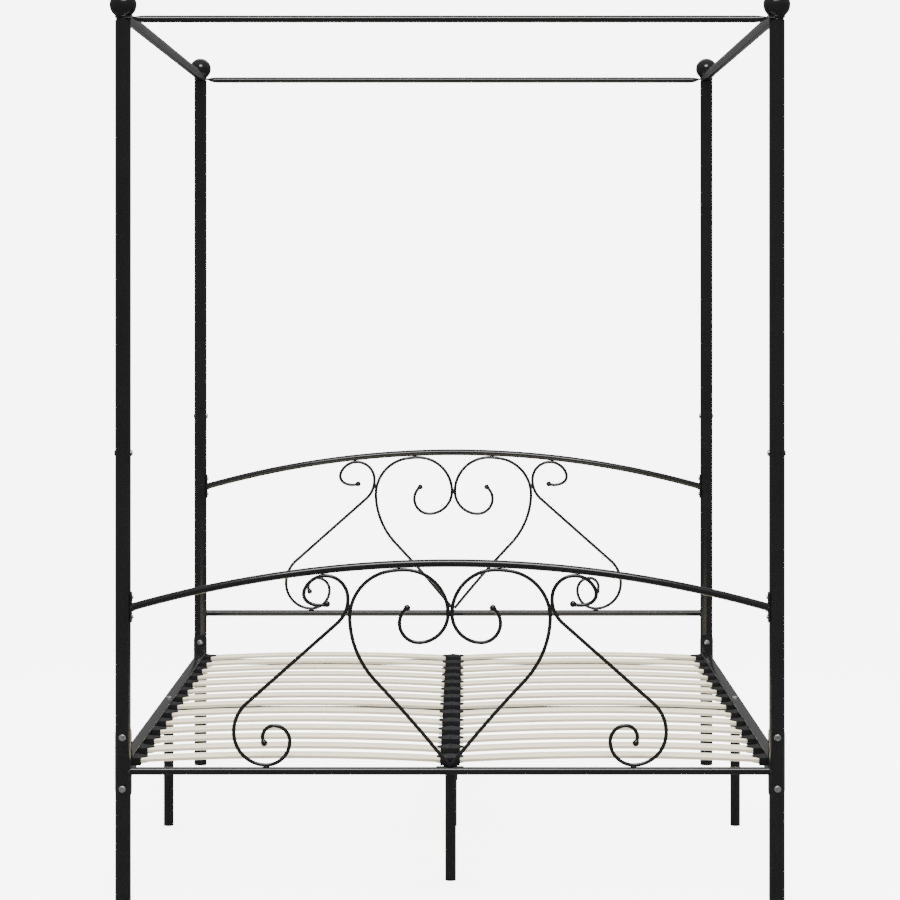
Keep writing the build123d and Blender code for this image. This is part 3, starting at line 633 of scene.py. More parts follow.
@once
def board_grain():
    """Grain of bent ply slats along X: each board has its own cut and tone, and its edge shows layers."""
    tree, given, out = new_group("Board grain", [
        ("Vector", VECTOR, None), ("First board", FLOAT, 0.0), ("Pitch", FLOAT, 0.15)],
        [("Tone", FLOAT), ("Board", FLOAT), ("Layers", FLOAT), ("Normal", VECTOR)])
    where = given.outputs["Vector"]
    split = add_node(tree, "ShaderNodeSeparateXYZ", {"Vector": where})
    along = maths(tree, "SUBTRACT", split.outputs["Y"], given.outputs["First board"])
    row = maths(tree, "ROUND", maths(tree, "DIVIDE", along, given.outputs["Pitch"]))
    key = add_node(tree, "ShaderNodeCombineXYZ", {"X": row, "Y": maths(tree, "SIGN", split.outputs["X"])})
    lot = add_node(tree, "ShaderNodeTexWhiteNoise", {"Vector": key.outputs[0]}, noise_dimensions="2D")
    own = vectors(tree, "ADD", where, vectors(tree, "MULTIPLY", lot.outputs["Color"], (7.0, 5.0, 3.0)))
    drawn = vectors(tree, "MULTIPLY", own, (1.6, 42.0, 42.0))
    pores = vectors(tree, "MULTIPLY", own, (14.0, 620.0, 620.0))
    broad = maths(tree, "MULTIPLY", noise(tree, drawn, 2.2, 7.0, Roughness=0.6, Distortion=0.9), 0.7)
    grain = maths(tree, "MULTIPLY_ADD", noise(tree, pores, 1.0, 3.0), 0.3, broad)
    wave = maths(tree, "SINE", maths(tree, "MULTIPLY", split.outputs["Z"], 2 * pi / PLY_LAYERS))
    fill(tree, out, {"Tone": ranged(tree, grain, start=0.34, end=0.66), "Board": lot.outputs["Value"],
                     "Layers": ranged(tree, wave, start=-1.0), "Normal": fine_bump(tree, grain, 0.12)})
    return tree


@once
def slat_timber():
    """Pale faced bent ply: cream faces with faint grain, layered edges darkened with painted shade, satin
    lacquer.
    """
    material, tree, shader, where = new_material("Pale slat timber")
    finish = bpy.context.scene.bed_finish
    grain = use_group(tree, board_grain(), {"Vector": where, "First board": slat_places()[0],
                                            "Pitch": slat_pitch()})
    tone, pale = grain.outputs["Tone"], finish.timber
    grained = mix_colours(tree, tone, [c * d for c, d in zip(pale, (0.92, 0.90, 0.865))], pale)
    boards = mix_colours(tree, grain.outputs["Board"], *shades(pale, 0.96, 1.03))
    # edge colour: the ply's own layers, darkened as painted shade between the slats
    edge = mix_colours(tree, grain.outputs["Layers"], *shades(finish.shaded_timber_edge, 0.92, 1.16))
    # painted shade: faces that stand on edge, neither facing up nor down, take the dark edge colour
    upright = ranged(tree, maths(tree, "ABSOLUTE", upward(tree)), start=0.55, end=0.3)
    ply_edge_and_shade_share = maths(tree, "MULTIPLY", upright, EDGE_AND_SHADE_SHARE)
    face = mix_colours(tree, BOARD_SHARE, grained, boards)
    fill(tree, shader, {"Base Color": mix_colours(tree, ply_edge_and_shade_share, face, edge),
                        "Roughness": ranged(tree, tone, 0.5, 0.4),
                        "Normal": grain.outputs["Normal"], "Specular IOR Level": 0.35})
    return material


# ---------------------------------------------------------------- places
def slat_pitch():
    low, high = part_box("slats_right")
    sizes = bpy.context.scene.bed_slats
    return (high.y - low.y - sizes.width) / (sizes.rows - 1)


def slat_places():
    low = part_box("slats_right")[0]
    sizes = bpy.context.scene.bed_slats
    return [low.y + sizes.width / 2 + slat_pitch() * row for row in range(sizes.rows)]


def corners():
    return [(side, end) for end in (FOOT, HEAD) for side in (LEFT, RIGHT)]


def islands(node):
    """Boxes of a node's separate solids, each gathered by walking along the mesh's edges."""
    bm = bmesh.new()
    bm.from_mesh(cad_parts[node].data)
    bmesh.ops.remove_doubles(bm, verts=bm.verts, dist=TINY)
    left, found = set(bm.verts), []
    while left:
        stack, seen = [left.pop()], []
        while stack:
            v = stack.pop()
            seen.append(v.co.copy())
            for e in v.link_edges:
                o = e.other_vert(v)
                if o in left:
                    left.remove(o)
                    stack.append(o)
        low = Vector([min(c[i] for c in seen) for i in range(3)])
        high = Vector([max(c[i] for c in seen) for i in range(3)])
        found.append((low, high, (low + high) / 2, high - low))
    bm.free()
    return sorted(found, key=lambda b: (round(b[2].y, 4), round(b[2].x, 4), round(b[2].z, 4)))


def about_post(side, end, z, turn):
    """Stand a shape on a post's axis, turned about Z."""
    return at(side * HALF_X, end * HALF_Y, z) @ Matrix.Rotation(turn, 4, "Z")


def arch_round():
    """Middle height, radius and half angle of the foot arch, about its own panel's rail height."""
    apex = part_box("foot_panel_arch_tube")[1].z - PANEL_R
    sagitta = apex - islands("arch_end_plates")[0][2].z
    half_chord = plate_face_x()
    radius = (half_chord ** 2 + sagitta ** 2) / (2 * sagitta)
    return apex - PANEL_Z[FOOT], radius, asin(half_chord / radius)


def plate_face_x():
    """How far from the middle of the bed the arch end plates' faces stand."""
    return min(abs(b[0].x) if b[2].x > 0 else abs(b[1].x) for b in islands("arch_end_plates"))


# ---------------------------------------------------------------- operators
class BedPiece:
    """Shared by the operators that build a piece."""
    bl_options = {"REGISTER", "UNDO"}


class BED_OT_posts(BedPiece, bpy.types.Operator):
    """Build the eight lengths of post"""
    bl_idname = "bed.posts"
    bl_label = "Posts"

    def execute(self, context):
        sizes = context.scene.bed_steelwork
        for end_name, end in ENDS.items():
            for side_name, side in SIDES.items():
                for level in ("lower", "upper"):
                    node = f"{end_name}_post_{level}_{side_name}"
                    low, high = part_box(node)
                    bm = bmesh.new()
                    shape = pipe(POST_R, sizes.post_wall, high.z - low.z, sizes.around_post, sizes.edge_break)
                    place(bm, shape, [about_post(side, end, low.z, 0.0)])
                    steel_piece(node, bm)
        return {"FINISHED"}


class BED_OT_finials(BedPiece, bpy.types.Operator):
    """Turn the ball finials with their collars"""
    bl_idname = "bed.finials"
    bl_label = "Ball finials"

    def execute(self, context):
        sizes = context.scene.bed_steelwork
        low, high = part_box("ball_finials")
        ball, collar, neck = sizes.ball / 2, sizes.collar / 2, sizes.neck / 2
        height = sizes.collar_height
        middle = high.z - low.z - ball
        rim = height * 0.4
        neck_turn = -90 + 180 / pi * asin(neck / ball)
        profile = [(0, 0), (collar - rim / 2, 0)] + arc(collar - rim / 2, rim / 2, rim / 2, -90, 0, 3)[1:]
        profile += arc(collar - rim / 2, height - rim, rim / 2, 0, 90, 4)
        profile += [(neck - 0.8 * MM, height - rim / 2)]
        profile += arc(0, middle, ball, neck_turn + 2, 90, 48)
        bm = bmesh.new()
        place(bm, turned(profile, 72), [about_post(side, end, low.z, 0.0) for side, end in corners()])
        steel_piece("ball_finials", bm)
        return {"FINISHED"}


def pinched_rail(long, tube_r, tab_z, sizes):
    """Tube along X whose ends flatten into rounded tabs at height tab_z from its axis."""
    tab_start = long / 2 - POST_R - sizes.tab_clear
    tube_end = tab_start - sizes.taper
    bm = bmesh.new()
    ring = open_ring(bm, 44, tube_r, ALONG_X)
    tab_power, tip_thin, stations = 0.28, 0.96, 16
    stages = [(tube_end, 0.0)]
    for i in range(1, stations + 1):
        t = sin(i / stations * pi / 2)
        stages.append((tube_end + sizes.taper * t, 1.0 - sqrt(1.0 - t * t) * (1.0 - 0.25 * t)))
    wide, round_d = sizes.tab_width, 2 * tube_r
    steps = [(x, round_d + (wide - round_d) * flat, round_d + (TAB_T - round_d) * flat,
              1.0 - (1.0 - tab_power) * flat, tab_z * flat) for x, flat in stages]
    steps.append((long / 2, wide, TAB_T, tab_power, tab_z))
    for turn in map(radians, range(9, 82, 9)):
        steps.append((long / 2 + wide / 2 * sin(turn), wide * cos(turn), TAB_T * tip_thin, tab_power, tab_z))
    angles = {v: atan2(v.co.z, v.co.y) for v in ring}
    for x, wide, high, square, z in steps:
        made = bmesh.ops.extrude_edge_only(bm, edges=ring_edges(ring))["geom"]
        turns = {}
        for v in verts_of(made):
            turns[v] = next(angles[o] for o in (e.other_vert(v) for e in v.link_edges) if o in angles)
            c, s = cos(turns[v]), sin(turns[v])
            v.co = Vector((x, sign(c) * wide / 2 * abs(c) ** square,
                           z + sign(s) * high / 2 * abs(s) ** square))
        ring, angles = list(turns), turns
    bmesh.ops.mirror(bm, geom=whole(bm), merge_dist=TINY, axis="X")
    bmesh.ops.remove_doubles(bm, verts=bm.verts, dist=MERGE)
    cap_open_ends(bm)
    return bm


class BED_OT_canopy(BedPiece, bpy.types.Operator):
    """Build the four canopy rails"""
    bl_idname = "bed.canopy"
    bl_label = "Canopy rails"

    def execute(self, context):
        sizes = context.scene.bed_steelwork
        side_tab_z, end_tab_z = POST_TOP + TAB_T / 2, POST_TOP + TAB_T * 1.5
        for name, end in ENDS.items():
            node = f"canopy_rail_{name}"
            axis = end_tab_z - sizes.end_rail_lift
            bm = bmesh.new()
            place(bm, pinched_rail(2 * HALF_X, sizes.end_rail / 2, sizes.end_rail_lift, sizes),
                  [at(0, end * HALF_Y, axis)])
            steel_piece(node, bm)
        for name, side in SIDES.items():
            node = f"canopy_rail_{name}"
            tube_r = (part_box(node)[1].z - POST_TOP) / 2
            axis = POST_TOP + tube_r
            bm = bmesh.new()
            place(bm, pinched_rail(2 * HALF_Y, tube_r, side_tab_z - axis, sizes),
                  [at(side * HALF_X, 0, axis) @ Matrix.Rotation(pi / 2, 4, "Z")])
            steel_piece(node, bm)
        return {"FINISHED"}


class BED_OT_arches(BedPiece, bpy.types.Operator):
    """Bend the two arched top tubes and build their end plates"""
    bl_idname = "bed.arches"
    bl_label = "Arches and end plates"

    def execute(self, context):
        sizes = context.scene.bed_steelwork
        rise, radius, half_angle = arch_round()
        for name, end in ENDS.items():
            centre = Vector((0, end * HALF_Y, PANEL_Z[end] + rise - radius))
            direction = Vector((cos(half_angle), 0, sin(half_angle)))
            start = centre + Vector((-sin(half_angle), 0, cos(half_angle))) * radius
            bm = bmesh.new()
            ring = open_ring(bm, sizes.around_tube, PANEL_R, facing(start, direction))
            bmesh.ops.spin(bm, geom=ring + ring_edges(ring), cent=centre, axis=(0, -1, 0),
                           angle=-2 * half_angle, steps=96)
            cap_open_ends(bm)
            plate_face = plate_face_x()
            for side in (LEFT, RIGHT):
                spot = Vector((side * plate_face, end * HALF_Y, centre.z + radius * cos(half_angle)))
                place(bm, weld_ring(PANEL_R, RING_WELD, HALF_X - plate_face),
                      [at(*spot) @ Matrix.Rotation(side * half_angle, 4, "Y") @ against_post(side)])
            steel_piece(f"{name}_panel_arch_tube", bm)
        bm = bmesh.new()
        plates = islands("arch_end_plates")
        size = plates[0][3]
        inner_r = HALF_X - plate_face_x() - sizes.plate
        half_angle = asin(size.y / 2 / (inner_r + sizes.plate))
        shape = wrapped_plate(half_angle, size.z, 5 * MM, inner_r, sizes.plate, 0.7 * MM, 8)
        place(bm, shape, [about_post(sign(m.x), sign(m.y), m.z, pi if m.x > 0 else 0.0)
                          for _, _, m, _ in plates])
        steel_piece("arch_end_plates", bm)
        return {"FINISHED"}


class BED_OT_cross_rails(BedPiece, bpy.types.Operator):
    """Build the lower rails of the panels and the cross bars under the slats"""
    bl_idname = "bed.cross_rails"
    bl_label = "Cross rails"

    def execute(self, context):
        sizes = context.scene.bed_steelwork
        cope = 2.6 * MM
        for node in ("foot_panel_lower_rail", "head_panel_lower_rail", "head_cross_bar"):
            middle, size = box(node)[2:]
            radius = size.z / 2
            bm = bmesh.new()
            place(bm, bar(radius, 2 * (HALF_X - POST_R + cope), sizes.around_tube), [at(*middle) @ ALONG_X])
            place(bm, weld_ring(radius, RING_WELD, POST_R),
                  [at(s * (HALF_X - POST_R), middle.y, middle.z) @ against_post(s) for s in (LEFT, RIGHT)])
            steel_piece(node, bm)
        middle, size = box("mid_cross_bar")[2:]
        bm = bmesh.new()
        place(bm, bar(size.z / 2, size.x, sizes.around_tube), [at(*middle) @ ALONG_X])
        place(bm, seam(size.z / 2, 1.4 * MM),
              [at(s * size.x / 2, middle.y, middle.z) @ ALONG_X for s in (LEFT, RIGHT)])
        steel_piece("mid_cross_bar", bm)
        return {"FINISHED"}


def touching(first, second, gap):
    """Where two wires come within gap, as (x, z, heading) in mm: the closest point of each separate place."""
    apart = 25.0
    near = []
    for x, z, turn in first:
        away, other = min((hypot(x - p[0], z - p[1]), p) for p in second)
        if away < gap:
            near.append((away, (x + other[0]) / 2, (z + other[1]) / 2, turn))
    spots = []
    for away, x, z, turn in sorted(near):
        if all(hypot(x - s[0], z - s[1]) > apart for s in spots):
            spots.append((x, z, turn))
    return spots


def welds_for(heart, side_in, side_out, sizes):
    """Weld places on a left hand piece's side of the panel: wire to wire, arch and lower rail."""
    rise, radius, half_angle = arch_round()
    wire = sizes.wire / MM
    arch = [(-radius / MM * sin(a), (rise - radius + radius * cos(a)) / MM, -a)
            for a in [half_angle * i / 600 for i in range(601)]]
    mirrored = [(-x, z, pi - turn) for x, z, turn in heart]
    slack, raised = 0.8, wire / 2 * 0.4
    to_tube, to_wire = PANEL_R / MM + wire / 2 + slack, wire + slack
    lobe = [p for p in heart if p[0] < -wire / 2 - 0.02 and p[1] > 60]
    found = {"heart": [], "side": []}
    for x, z, turn in touching(heart, arch, to_tube):
        found["heart"].append((x, z + raised, 0.0))
    found["heart"] += touching(lobe, mirrored, to_wire)
    for line in (side_in, side_out):
        for x, z, turn in touching(line, arch, to_tube):
            found["side"].append((x, z + raised, turn))
        for x, z, turn in touching(line, heart, to_wire):
            found["side"].append((x, z, turn))
    found["side"].append((SIDE_FOOT_X, PANEL_R / MM + 0.4, 0.0))
    return found


class BED_OT_scrolls(BedPiece, bpy.types.Operator):
    """Bend the heart and side scrolls of both panels and weld them in"""
    bl_idname = "bed.scrolls"
    bl_label = "Wire scrolls"

    def execute(self, context):
        sizes = context.scene.bed_steelwork
        wire_r, ball_r = sizes.wire / 2, sizes.wire_ball / 2
        seat = (SIDE_FOOT_X, PANEL_R / MM + wire_r / MM + WELD_GAP / MM)
        runs = {"heart": [(HEART_START, HEART_HEADING, HEART_BENDS)],
                "side": [(seat, 0.0, SIDE_INNER_BENDS), (seat, 180.0, SIDE_OUTER_BENDS)]}
        lines = {kind: [wire_line(*run) for run in made] for kind, made in runs.items()}
        welds = welds_for(lines["heart"][0], lines["side"][0], lines["side"][1], sizes)
        for kind, made in runs.items():
            for end_name, end in ENDS.items():
                for side_name, side in SIDES.items():
                    node = f"{end_name}_{kind}_scroll_{side_name}"
                    here = at(0, end * HALF_Y, PANEL_Z[end])
                    if side == RIGHT:
                        here = here @ MIRROR_X
                    bm = bmesh.new()
                    for start, heading, bends in made:
                        wire, point, direction = bent_wire(start, heading, bends, wire_r, sizes.around_wire)
                        place(bm, wire, [here])
                        place(bm, ball_end(wire_r, ball_r), [here @ facing(point, direction)])
                    spots = welds[kind]
                    if kind == "heart" and side == LEFT:
                        spots = spots + [(0.0, PANEL_R / MM + 2.6, pi / 2)]
                    for x, z, turn in spots:
                        place(bm, bead(sizes.bead_length, sizes.bead_width, sizes.wire * 0.93),
                              [here @ at(x * MM, 0, z * MM) @ Matrix.Rotation(-turn, 4, "Y")])
                    steel_piece(node, bm)
        return {"FINISHED"}


class BED_OT_side_rails(BedPiece, bpy.types.Operator):
    """Build the side rail halves and the brackets that join them to the posts"""
    bl_idname = "bed.side_rails"
    bl_label = "Side rails"

    def execute(self, context):
        sizes = context.scene.bed_steelwork
        rail_end = 9.5 * MM
        for end_name, end in (("front", FOOT), ("rear", HEAD)):
            for side_name in SIDES:
                node = f"side_rail_{end_name}_{side_name}"
                low, high, middle, size = box(node)
                joint = high.y if end == FOOT else low.y
                outer = end * (HALF_Y - rail_end)
                bm = bmesh.new()
                place(bm, block((size.x, abs(joint - outer), size.z), sizes.rail_corner, 4, 0.5 * MM),
                      [at(middle.x, (joint + outer) / 2, middle.z)])
                steel_piece(node, bm)
        bm = bmesh.new()
        inner_r = POST_R + PLATE_FIT
        half_w = (inner_r + sizes.bracket) * sin(sizes.bracket_wrap)
        for _, _, middle, size in islands("side_rail_brackets"):
            end = sign(middle.y)
            shape = wrapped_plate(sizes.bracket_wrap, size.z, half_w * 0.9, inner_r, sizes.bracket,
                                  0.6 * MM, 20)
            place(bm, shape, [about_post(sign(middle.x), end, middle.z, -end * pi / 2)])
        steel_piece("side_rail_brackets", bm)
        return {"FINISHED"}


def swept_saddle(wide, bar_r, tail, beam_w, thick):
    """Plate bent over a bar's upper quarter with a flat tail towards +Y, about the bar's axis."""
    bm = bmesh.new()
    verts = [bm.verts.new((x, bar_r, 0)) for x in (-wide / 2, wide / 2)]
    edge = bm.edges.new(verts)
    bmesh.ops.spin(bm, geom=verts + [edge], cent=(0, 0, 0), axis=(1, 0, 0), angle=pi / 2, steps=12)
    for v in second_skin(bm):
        grow = (bar_r + thick) / hypot(v.co.y, v.co.z)
        v.co.y, v.co.z = v.co.y * grow, v.co.z * grow
    face_outwards(bm)
    soften(bm, sharp_edges(bm, 70.0), 0.5 * MM, 2)
    flat = block((beam_w, tail, thick), 0.4 * MM, 2, 0.3 * MM)
    place(bm, flat, [at(0, tail / 2, bar_r + thick / 2)])
    return bm


class BED_OT_centre(BedPiece, bpy.types.Operator):
    """Build the centre beam, its saddles and the legs"""
    bl_idname = "bed.centre"
    bl_label = "Centre beam and legs"

    def execute(self, context):
        sizes = context.scene.bed_steelwork
        for name in ("front", "rear"):
            middle, size = box(f"centre_beam_{name}")[2:]
            bm = bmesh.new()
            place(bm, block(size, sizes.rail_corner * 0.8, 4, 0.4 * MM), [at(*middle)])
            steel_piece(f"centre_beam_{name}", bm)
        bm = bmesh.new()
        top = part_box("beam_saddles")[1].z
        bar_z = PANEL_Z[FOOT]
        bar_r = PANEL_R + WELD_GAP
        thick = top - bar_z - bar_r
        tails = islands("beam_saddles")
        long = max(b[3].y for b in tails)
        turned_round = Matrix.Rotation(pi, 4, "Z")
        for y, ways in ((-HALF_Y, (1,)), (0.0, (1, -1)), (HALF_Y, (-1,))):
            for way in ways:
                shape = swept_saddle(tails[0][3].x, bar_r, long, BEAM_SIZE.x, thick)
                place(bm, shape, [at(0, y, bar_z) @ (turned_round if way < 0 else Matrix.Identity(4))])
        steel_piece("beam_saddles", bm)
        for node in ("side_leg_left", "side_leg_right",
                     "centre_leg_front", "centre_leg_middle", "centre_leg_rear"):
            low, high, middle, size = box(node)
            bm = bmesh.new()
            radius = size.x / 2
            plate_z = high.z - sizes.leg_plate
            place(bm, pipe(radius, sizes.post_wall, plate_z - low.z, sizes.around_tube, 0.3 * MM),
                  [at(middle.x, middle.y, low.z)])
            place(bm, block((size.x, size.y, sizes.leg_plate), 4 * MM, 4, 0.4 * MM, axis=2),
                  [at(middle.x, middle.y, high.z - sizes.leg_plate / 2)])
            place(bm, seam(radius, 1.3 * MM), [at(middle.x, middle.y, plate_z)])
            steel_piece(node, bm)
        return {"FINISHED"}


# Each fastener: the axis it lies along; 1 if its head faces away from the bed's middle, else -1; its head's
# height (None for its whole length), socket, rim share and facets; its shank's radius, how much shorter it is
# than the whole, how far its middle is shifted from the head, and its facets. Sizes in mm.
FASTENERS = {
    "corner_bolts": (1, 1, (5.0, 7.0, 0.45, 48), (4.0, 6.0, 3.0, 24)),
    "corner_nuts": (1, -1, (None, 0.0, 0.7, 48), None),
    "leg_bolts": (2, 1, (3.5, 5.0, 0.6, 48), (4.0, 4.0, 2.0, 24)),
    "panel_plate_screws": (0, -1, (2.6, 3.0, 0.6, 36), (2.5, 3.0, 1.4, 20)),
    "post_joint_bolts": (0, -1, (4.0, 4.0, 0.85, 48), (3.0, 5.0, 2.2, 24)),
    "post_joint_nuts": (0, 1, (None, 0.0, 0.5, 48), None),
}


class BED_OT_fasteners(BedPiece, bpy.types.Operator):
    """Turn the visible heads of the bolts, nuts and screws"""
    bl_idname = "bed.fasteners"
    bl_label = "Bolts, nuts and screws"

    def execute(self, context):
        for node, (axis, outwards, (high_mm, socket, share, facets), shank) in FASTENERS.items():
            bm = bmesh.new()
            for low, high, middle, size in islands(node):
                way = outwards * sign(middle[axis])
                direction = Vector([way if i == axis else 0 for i in range(3)])
                height = size[axis] if high_mm is None else high_mm * MM
                seat = middle.copy()
                seat[axis] = (high if way > 0 else low)[axis] - way * height
                head = button(size[2 if axis == 0 else 0] / 2, height, socket * MM, share, facets)
                place(bm, head, [facing(seat, direction)])
                if shank:
                    radius, shorter, shift, sides = shank
                    place(bm, bar(radius * MM, size[axis] - shorter * MM, sides),
                          [facing(middle - direction * shift * MM, direction)])
            if node == "post_joint_nuts":
                finish_piece("capped_post_joint_nuts", bm, [node], powder_coat(), 30.0)
            else:
                zinc_piece(node, bm)
        return {"FINISHED"}


class BED_OT_slats(BedPiece, bpy.types.Operator):
    """Bend the sprung slats"""
    bl_idname = "bed.slats"
    bl_label = "Slats"

    def execute(self, context):
        sizes = context.scene.bed_slats
        for name in SIDES:
            low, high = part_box(f"slats_{name}")
            half_t = sizes.thickness / 2
            sagitta = high.z - low.z - sizes.thickness
            half = (high.x - low.x) / 2
            tilt = 2 * atan2(sagitta, half)
            half -= half_t * sin(tilt)
            radius = (half ** 2 + sagitta ** 2) / (2 * sagitta)
            turn = asin(half / radius)
            middle_x = (low.x + high.x) / 2
            centre = Vector((0, 0, high.z - half_t - radius))
            shape = flat_sheet(half_t, sizes.width / 2)
            soften(shape, shape.verts[:], sizes.edge, 3, "VERTICES")
            bmesh.ops.delete(shape, geom=shape.faces[:], context="FACES_ONLY")
            across = Vector((cos(turn), 0, sin(turn)))
            up = Vector((-sin(turn), 0, cos(turn)))
            start = centre + up * radius
            stand = Matrix((up, Vector((0, 1, 0)), across)).transposed().to_4x4()
            bmesh.ops.transform(shape, verts=shape.verts, matrix=at(*start) @ stand)
            bmesh.ops.spin(shape, geom=shape.verts[:] + shape.edges[:], cent=centre, axis=(0, -1, 0),
                           angle=-2 * turn, steps=24)
            cap_open_ends(shape)
            bm = bmesh.new()
            place(bm, shape, [at(middle_x, y, 0) for y in slat_places()])
            finish_piece(f"timber_slats_{name}", bm, [f"slats_{name}"], slat_timber(), 50.0)
        return {"FINISHED"}


def tongue(root, reach, half_w, thick):
    """Tapered tongue from X root towards +X, its tip rounded, centred on Z 0."""
    buried, tip_share, rounding = 3 * MM, 0.45, 0.55
    bm = flat_sheet(1, 1)
    for v in bm.verts:
        tip = v.co.x > 0
        v.co = Vector((root + (reach if tip else -buried), v.co.y * half_w * (tip_share if tip else 1.0), 0))
    tips = [v for v in bm.verts if v.co.x > root]
    soften(bm, tips, min(reach, half_w) * rounding, 4, "VERTICES")
    bmesh.ops.translate(bm, verts=second_skin(bm), vec=(0, 0, thick))
    bmesh.ops.translate(bm, verts=bm.verts, vec=(0, 0, -thick / 2))
    face_outwards(bm)
    soften(bm, sharp_edges(bm, 70.0), thick * 0.22, 2)
    return bm


def holder(root, mouth, reach, bottom, top, floor_z, roof_z, sizes):
    """One moulded pocket that opens towards +X, with a tongue above and below the slat."""
    half_w = sizes.width / 2 + sizes.slack + sizes.wall
    bm = bmesh.new()
    bmesh.ops.create_cube(bm, size=1.0, matrix=at((root + mouth) / 2, 0, (bottom + top) / 2)
                          @ Matrix.Diagonal((mouth - root, 2 * half_w, top - bottom, 1)))
    front = max(bm.faces, key=lambda f: f.calc_center_median().x)
    bmesh.ops.inset_individual(bm, faces=[front], thickness=sizes.wall * 0.5, depth=0.0)
    inner = max(bm.faces, key=lambda f: (round(f.calc_center_median().x, 6), -f.calc_area()))
    for v in inner.verts:
        v.co.y = (half_w - sizes.wall) * sign(v.co.y)
        v.co.z = roof_z if v.co.z > (bottom + top) / 2 else floor_z
    deeper = bmesh.ops.extrude_discrete_faces(bm, faces=[inner])["faces"]
    bmesh.ops.translate(bm, verts=list(deeper[0].verts), vec=(-(sizes.cover + sizes.slack), 0, 0))
    upper = [e for e in bm.edges if all(v.co.z > top - TINY for v in e.verts) and len(e.link_faces) == 2]
    soften(bm, upper, 1.6 * MM, 3)
    rest = [e for e in sharp_edges(bm, 70.0) if all(abs(v.co.x - root) > 10 * TINY for v in e.verts)]
    soften(bm, rest, 0.35 * MM, 1)
    face_outwards(bm)
    wide, upper_t, lower_t = half_w * 0.55, top - roof_z - 0.6 * MM, sizes.wall * 0.8
    place(bm, tongue(mouth, reach, wide, upper_t), [at(0, 0, top - upper_t / 2 - 0.1 * MM)])
    place(bm, tongue(mouth, reach, wide, lower_t), [at(0, 0, floor_z - lower_t / 2 - 0.2 * MM)])
    return bm


class BED_OT_holders(BedPiece, bpy.types.Operator):
    """Mould the slat holders on the side rails and on the centre beam"""
    bl_idname = "bed.holders"
    bl_label = "Slat holders"

    def execute(self, context):
        sizes = context.scene.bed_slats
        slat_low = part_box("slats_right")[0]
        floor_z = slat_low.z - sizes.slack / 2
        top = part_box("side_slat_holders_left")[1].z
        roof_z = top - sizes.wall
        for name, side in SIDES.items():
            node = f"side_slat_holders_{name}"
            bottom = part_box(node)[0].z
            bm = bmesh.new()
            shape = holder(0.0, sizes.side_depth, sizes.side_tongue, bottom, top, floor_z, roof_z, sizes)
            turn = Matrix.Identity(4) if side == LEFT else MIRROR_X
            wall = (RAIL_MIDDLE.x - RAIL_SIZE.x / 2) * side
            place(bm, shape, [at(wall, y, 0) @ turn for y in slat_places()])
            moulded_piece(node, bm)
        bm = bmesh.new()
        mouth = slat_low.x + sizes.thickness / 2 * 0.06 + sizes.cover
        for turn in (Matrix.Identity(4), MIRROR_X):
            shape = holder(0.0, mouth, sizes.centre_tongue, BEAM_HIGH.z, top, floor_z, roof_z, sizes)
            place(bm, shape, [at(0, y, 0) @ turn for y in slat_places()])
        moulded_piece("centre_slat_holders", bm)
        return {"FINISHED"}


class BED_OT_feet(BedPiece, bpy.types.Operator):
    """Mould the caps under the posts and legs"""
    bl_idname = "bed.feet"
    bl_label = "Foot caps"

    def execute(self, context):
        bm = bmesh.new()
        rim, recess, plug_gap = 1.2 * MM, 0.4 * MM, 2 * MM
        for _, high, middle, size in islands("foot_caps"):
            radius = size.x / 2
            plug = radius - plug_gap
            profile = [(0, recess), (radius * 0.72, recess), (radius * 0.78, 0)]
            profile += arc(radius - rim, rim, rim, -90, 0, 4)
            profile += [(radius, CAP_FLANGE), (plug, CAP_FLANGE), (plug, high.z), (0, high.z)]
            place(bm, turned(profile, 56), [at(middle.x, middle.y, 0)])
        moulded_piece("foot_caps", bm)
        return {"FINISHED"}


class BED_OT_fittings(BedPiece, bpy.types.Operator):
    """Give the fittings inside the tubes their metal finish"""
    bl_idname = "bed.fittings"
    bl_label = "Hidden fittings"

    def execute(self, context):
        for node in ("post_couplers", "post_top_inserts", "finial_studs", "bar_spigots", "side_rail_inserts"):
            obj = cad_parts[node]
            obj.data.materials.clear()
            obj.data.materials.append(bright_zinc())
        return {"FINISHED"}


# ---------------------------------------------------------------- studio
def softbox(name, place_at, target, size, power):
    light = bpy.data.lights.new(name, "AREA")
    light.shape = "RECTANGLE"
    light.size, light.size_y = size
    light.energy = power
    obj = bpy.data.objects.new(name, light)
    obj.location = place_at
    obj.rotation_euler = (Vector(target) - Vector(place_at)).to_track_quat("-Z", "Y").to_euler()
    obj.visible_camera = False
    bpy.context.scene.collection.objects.link(obj)
    return obj


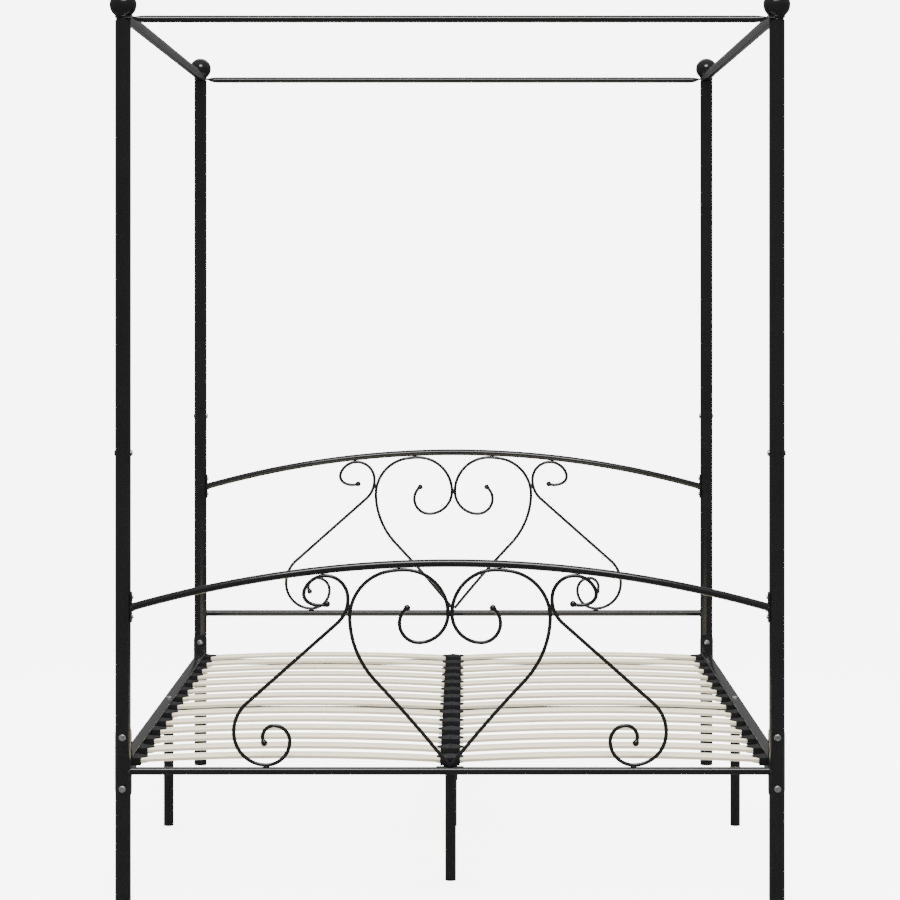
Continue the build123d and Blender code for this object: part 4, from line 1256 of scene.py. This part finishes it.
class BED_OT_studio(bpy.types.Operator):
    """Set up the pale floor, the soft light and the camera"""
    bl_idname = "bed.studio"
    bl_label = "Studio"

    def execute(self, context):
        scene = context.scene
        studio = scene.bed_studio
        bm = bmesh.new()
        bmesh.ops.create_circle(bm, cap_ends=True, segments=96, radius=90.0)
        mesh = bpy.data.meshes.new("studio_floor")
        bm.to_mesh(mesh)
        bm.free()
        floor = bpy.data.objects.new("studio_floor", mesh)
        scene.collection.objects.link(floor)
        material, tree, shader, where = new_material("Pale studio floor")
        far = add_node(tree, "ShaderNodeVectorMath", {0: where}, operation="LENGTH").outputs["Value"]
        fade = ranged(tree, far, start=2.2, end=6.0)
        fill(tree, shader, {"Base Color": mix_colours(tree, fade, scene.bed_finish.floor, (0.0, 0.0, 0.0)),
                            "Specular IOR Level": 0.0, "Roughness": 0.9})
        plain = shader.outputs[0]
        lift = glow(tree, "Emission", ranged(tree, fade, studio.floor_lift, studio.backdrop))
        lit = add_node(tree, "ShaderNodeAddShader", {0: plain, 1: lift}).outputs[0]
        shown = by_ray(tree, "Is Camera Ray", plain, lit)
        kept = by_ray(tree, "Is Glossy Ray", shown, glow(tree, "Emission", studio.surround))
        fill(tree, next(n for n in tree.nodes if n.type == "OUTPUT_MATERIAL"), {"Surface": kept})
        mesh.materials.append(material)

        world = bpy.data.worlds.new("Studio")
        scene.world = world
        world.use_nodes = True
        tree = world.node_tree
        tree.nodes.clear()
        across = add_node(tree, "ShaderNodeTexCoord").outputs["Generated"]
        up = add_node(tree, "ShaderNodeSeparateXYZ", {"Vector": across}).outputs["Z"]
        rise = ranged(tree, up, studio.surround, studio.surround * 2.4, 0.05, 0.9)
        soft = by_ray(tree, "Is Glossy Ray", glow(tree, "Background", studio.wash),
                      glow(tree, "Background", rise))
        mixed = by_ray(tree, "Is Camera Ray", soft, glow(tree, "Background", studio.backdrop))
        add_node(tree, "ShaderNodeOutputWorld", {"Surface": mixed})

        softbox("key_softbox", (0.0, -4.4, 5.6), (0, 0, 1.2), (3.2, 2.2), studio.key)
        softbox("rear_softbox", (0.0, 4.4, 5.6), (0, 0, 1.2), (4.2, 3.0), studio.back)
        ceiling = softbox("ceiling_softbox", (0.0, 0.0, 5.4), (0, 0, 0), (3.6, 3.6), studio.top)
        ceiling.visible_glossy = False

        camera = bpy.data.cameras.new("bed_camera")
        camera.sensor_width = 36.0
        camera.lens = studio.lens
        camera.shift_x, camera.shift_y = studio.shift
        camera.clip_end = 200.0
        eye = bpy.data.objects.new("bed_camera", camera)
        eye.location = studio.eye
        eye.rotation_euler = (pi / 2, 0, 0)
        scene.collection.objects.link(eye)
        scene.camera = eye
        return {"FINISHED"}


# ---------------------------------------------------------------- panel and registration
STEPS = (BED_OT_studio, BED_OT_posts, BED_OT_finials, BED_OT_canopy, BED_OT_arches, BED_OT_cross_rails,
         BED_OT_scrolls, BED_OT_side_rails, BED_OT_centre, BED_OT_fasteners, BED_OT_slats, BED_OT_holders,
         BED_OT_feet, BED_OT_fittings)
GROUPS = {"bed_steelwork": BED_PG_steelwork, "bed_slats": BED_PG_slats, "bed_finish": BED_PG_finish,
          "bed_studio": BED_PG_studio}


class BED_PT_panel(bpy.types.Panel):
    """Sizes, colours and build steps of the canopy bed"""
    bl_idname = "BED_PT_panel"
    bl_label = "Canopy Bed"
    bl_space_type = "VIEW_3D"
    bl_region_type = "UI"
    bl_category = "Canopy Bed"

    def draw(self, context):
        for key, group in GROUPS.items():
            column = self.layout.box().column()
            for name in group.__annotations__:
                column.prop(getattr(context.scene, key), name)
        for step in STEPS:
            self.layout.operator(step.bl_idname)


def register():
    for cls in (*GROUPS.values(), *STEPS, BED_PT_panel):
        bpy.utils.register_class(cls)
    for key, group in GROUPS.items():
        setattr(bpy.types.Scene, key, PointerProperty(type=group))


def unregister():
    for key in GROUPS:
        delattr(bpy.types.Scene, key)
    for cls in reversed((*GROUPS.values(), *STEPS, BED_PT_panel)):
        bpy.utils.unregister_class(cls)


def main():
    register()
    for step in STEPS:
        family, name = step.bl_idname.split(".")
        getattr(getattr(bpy.ops, family), name)()


if __name__ == "__main__":
    main()
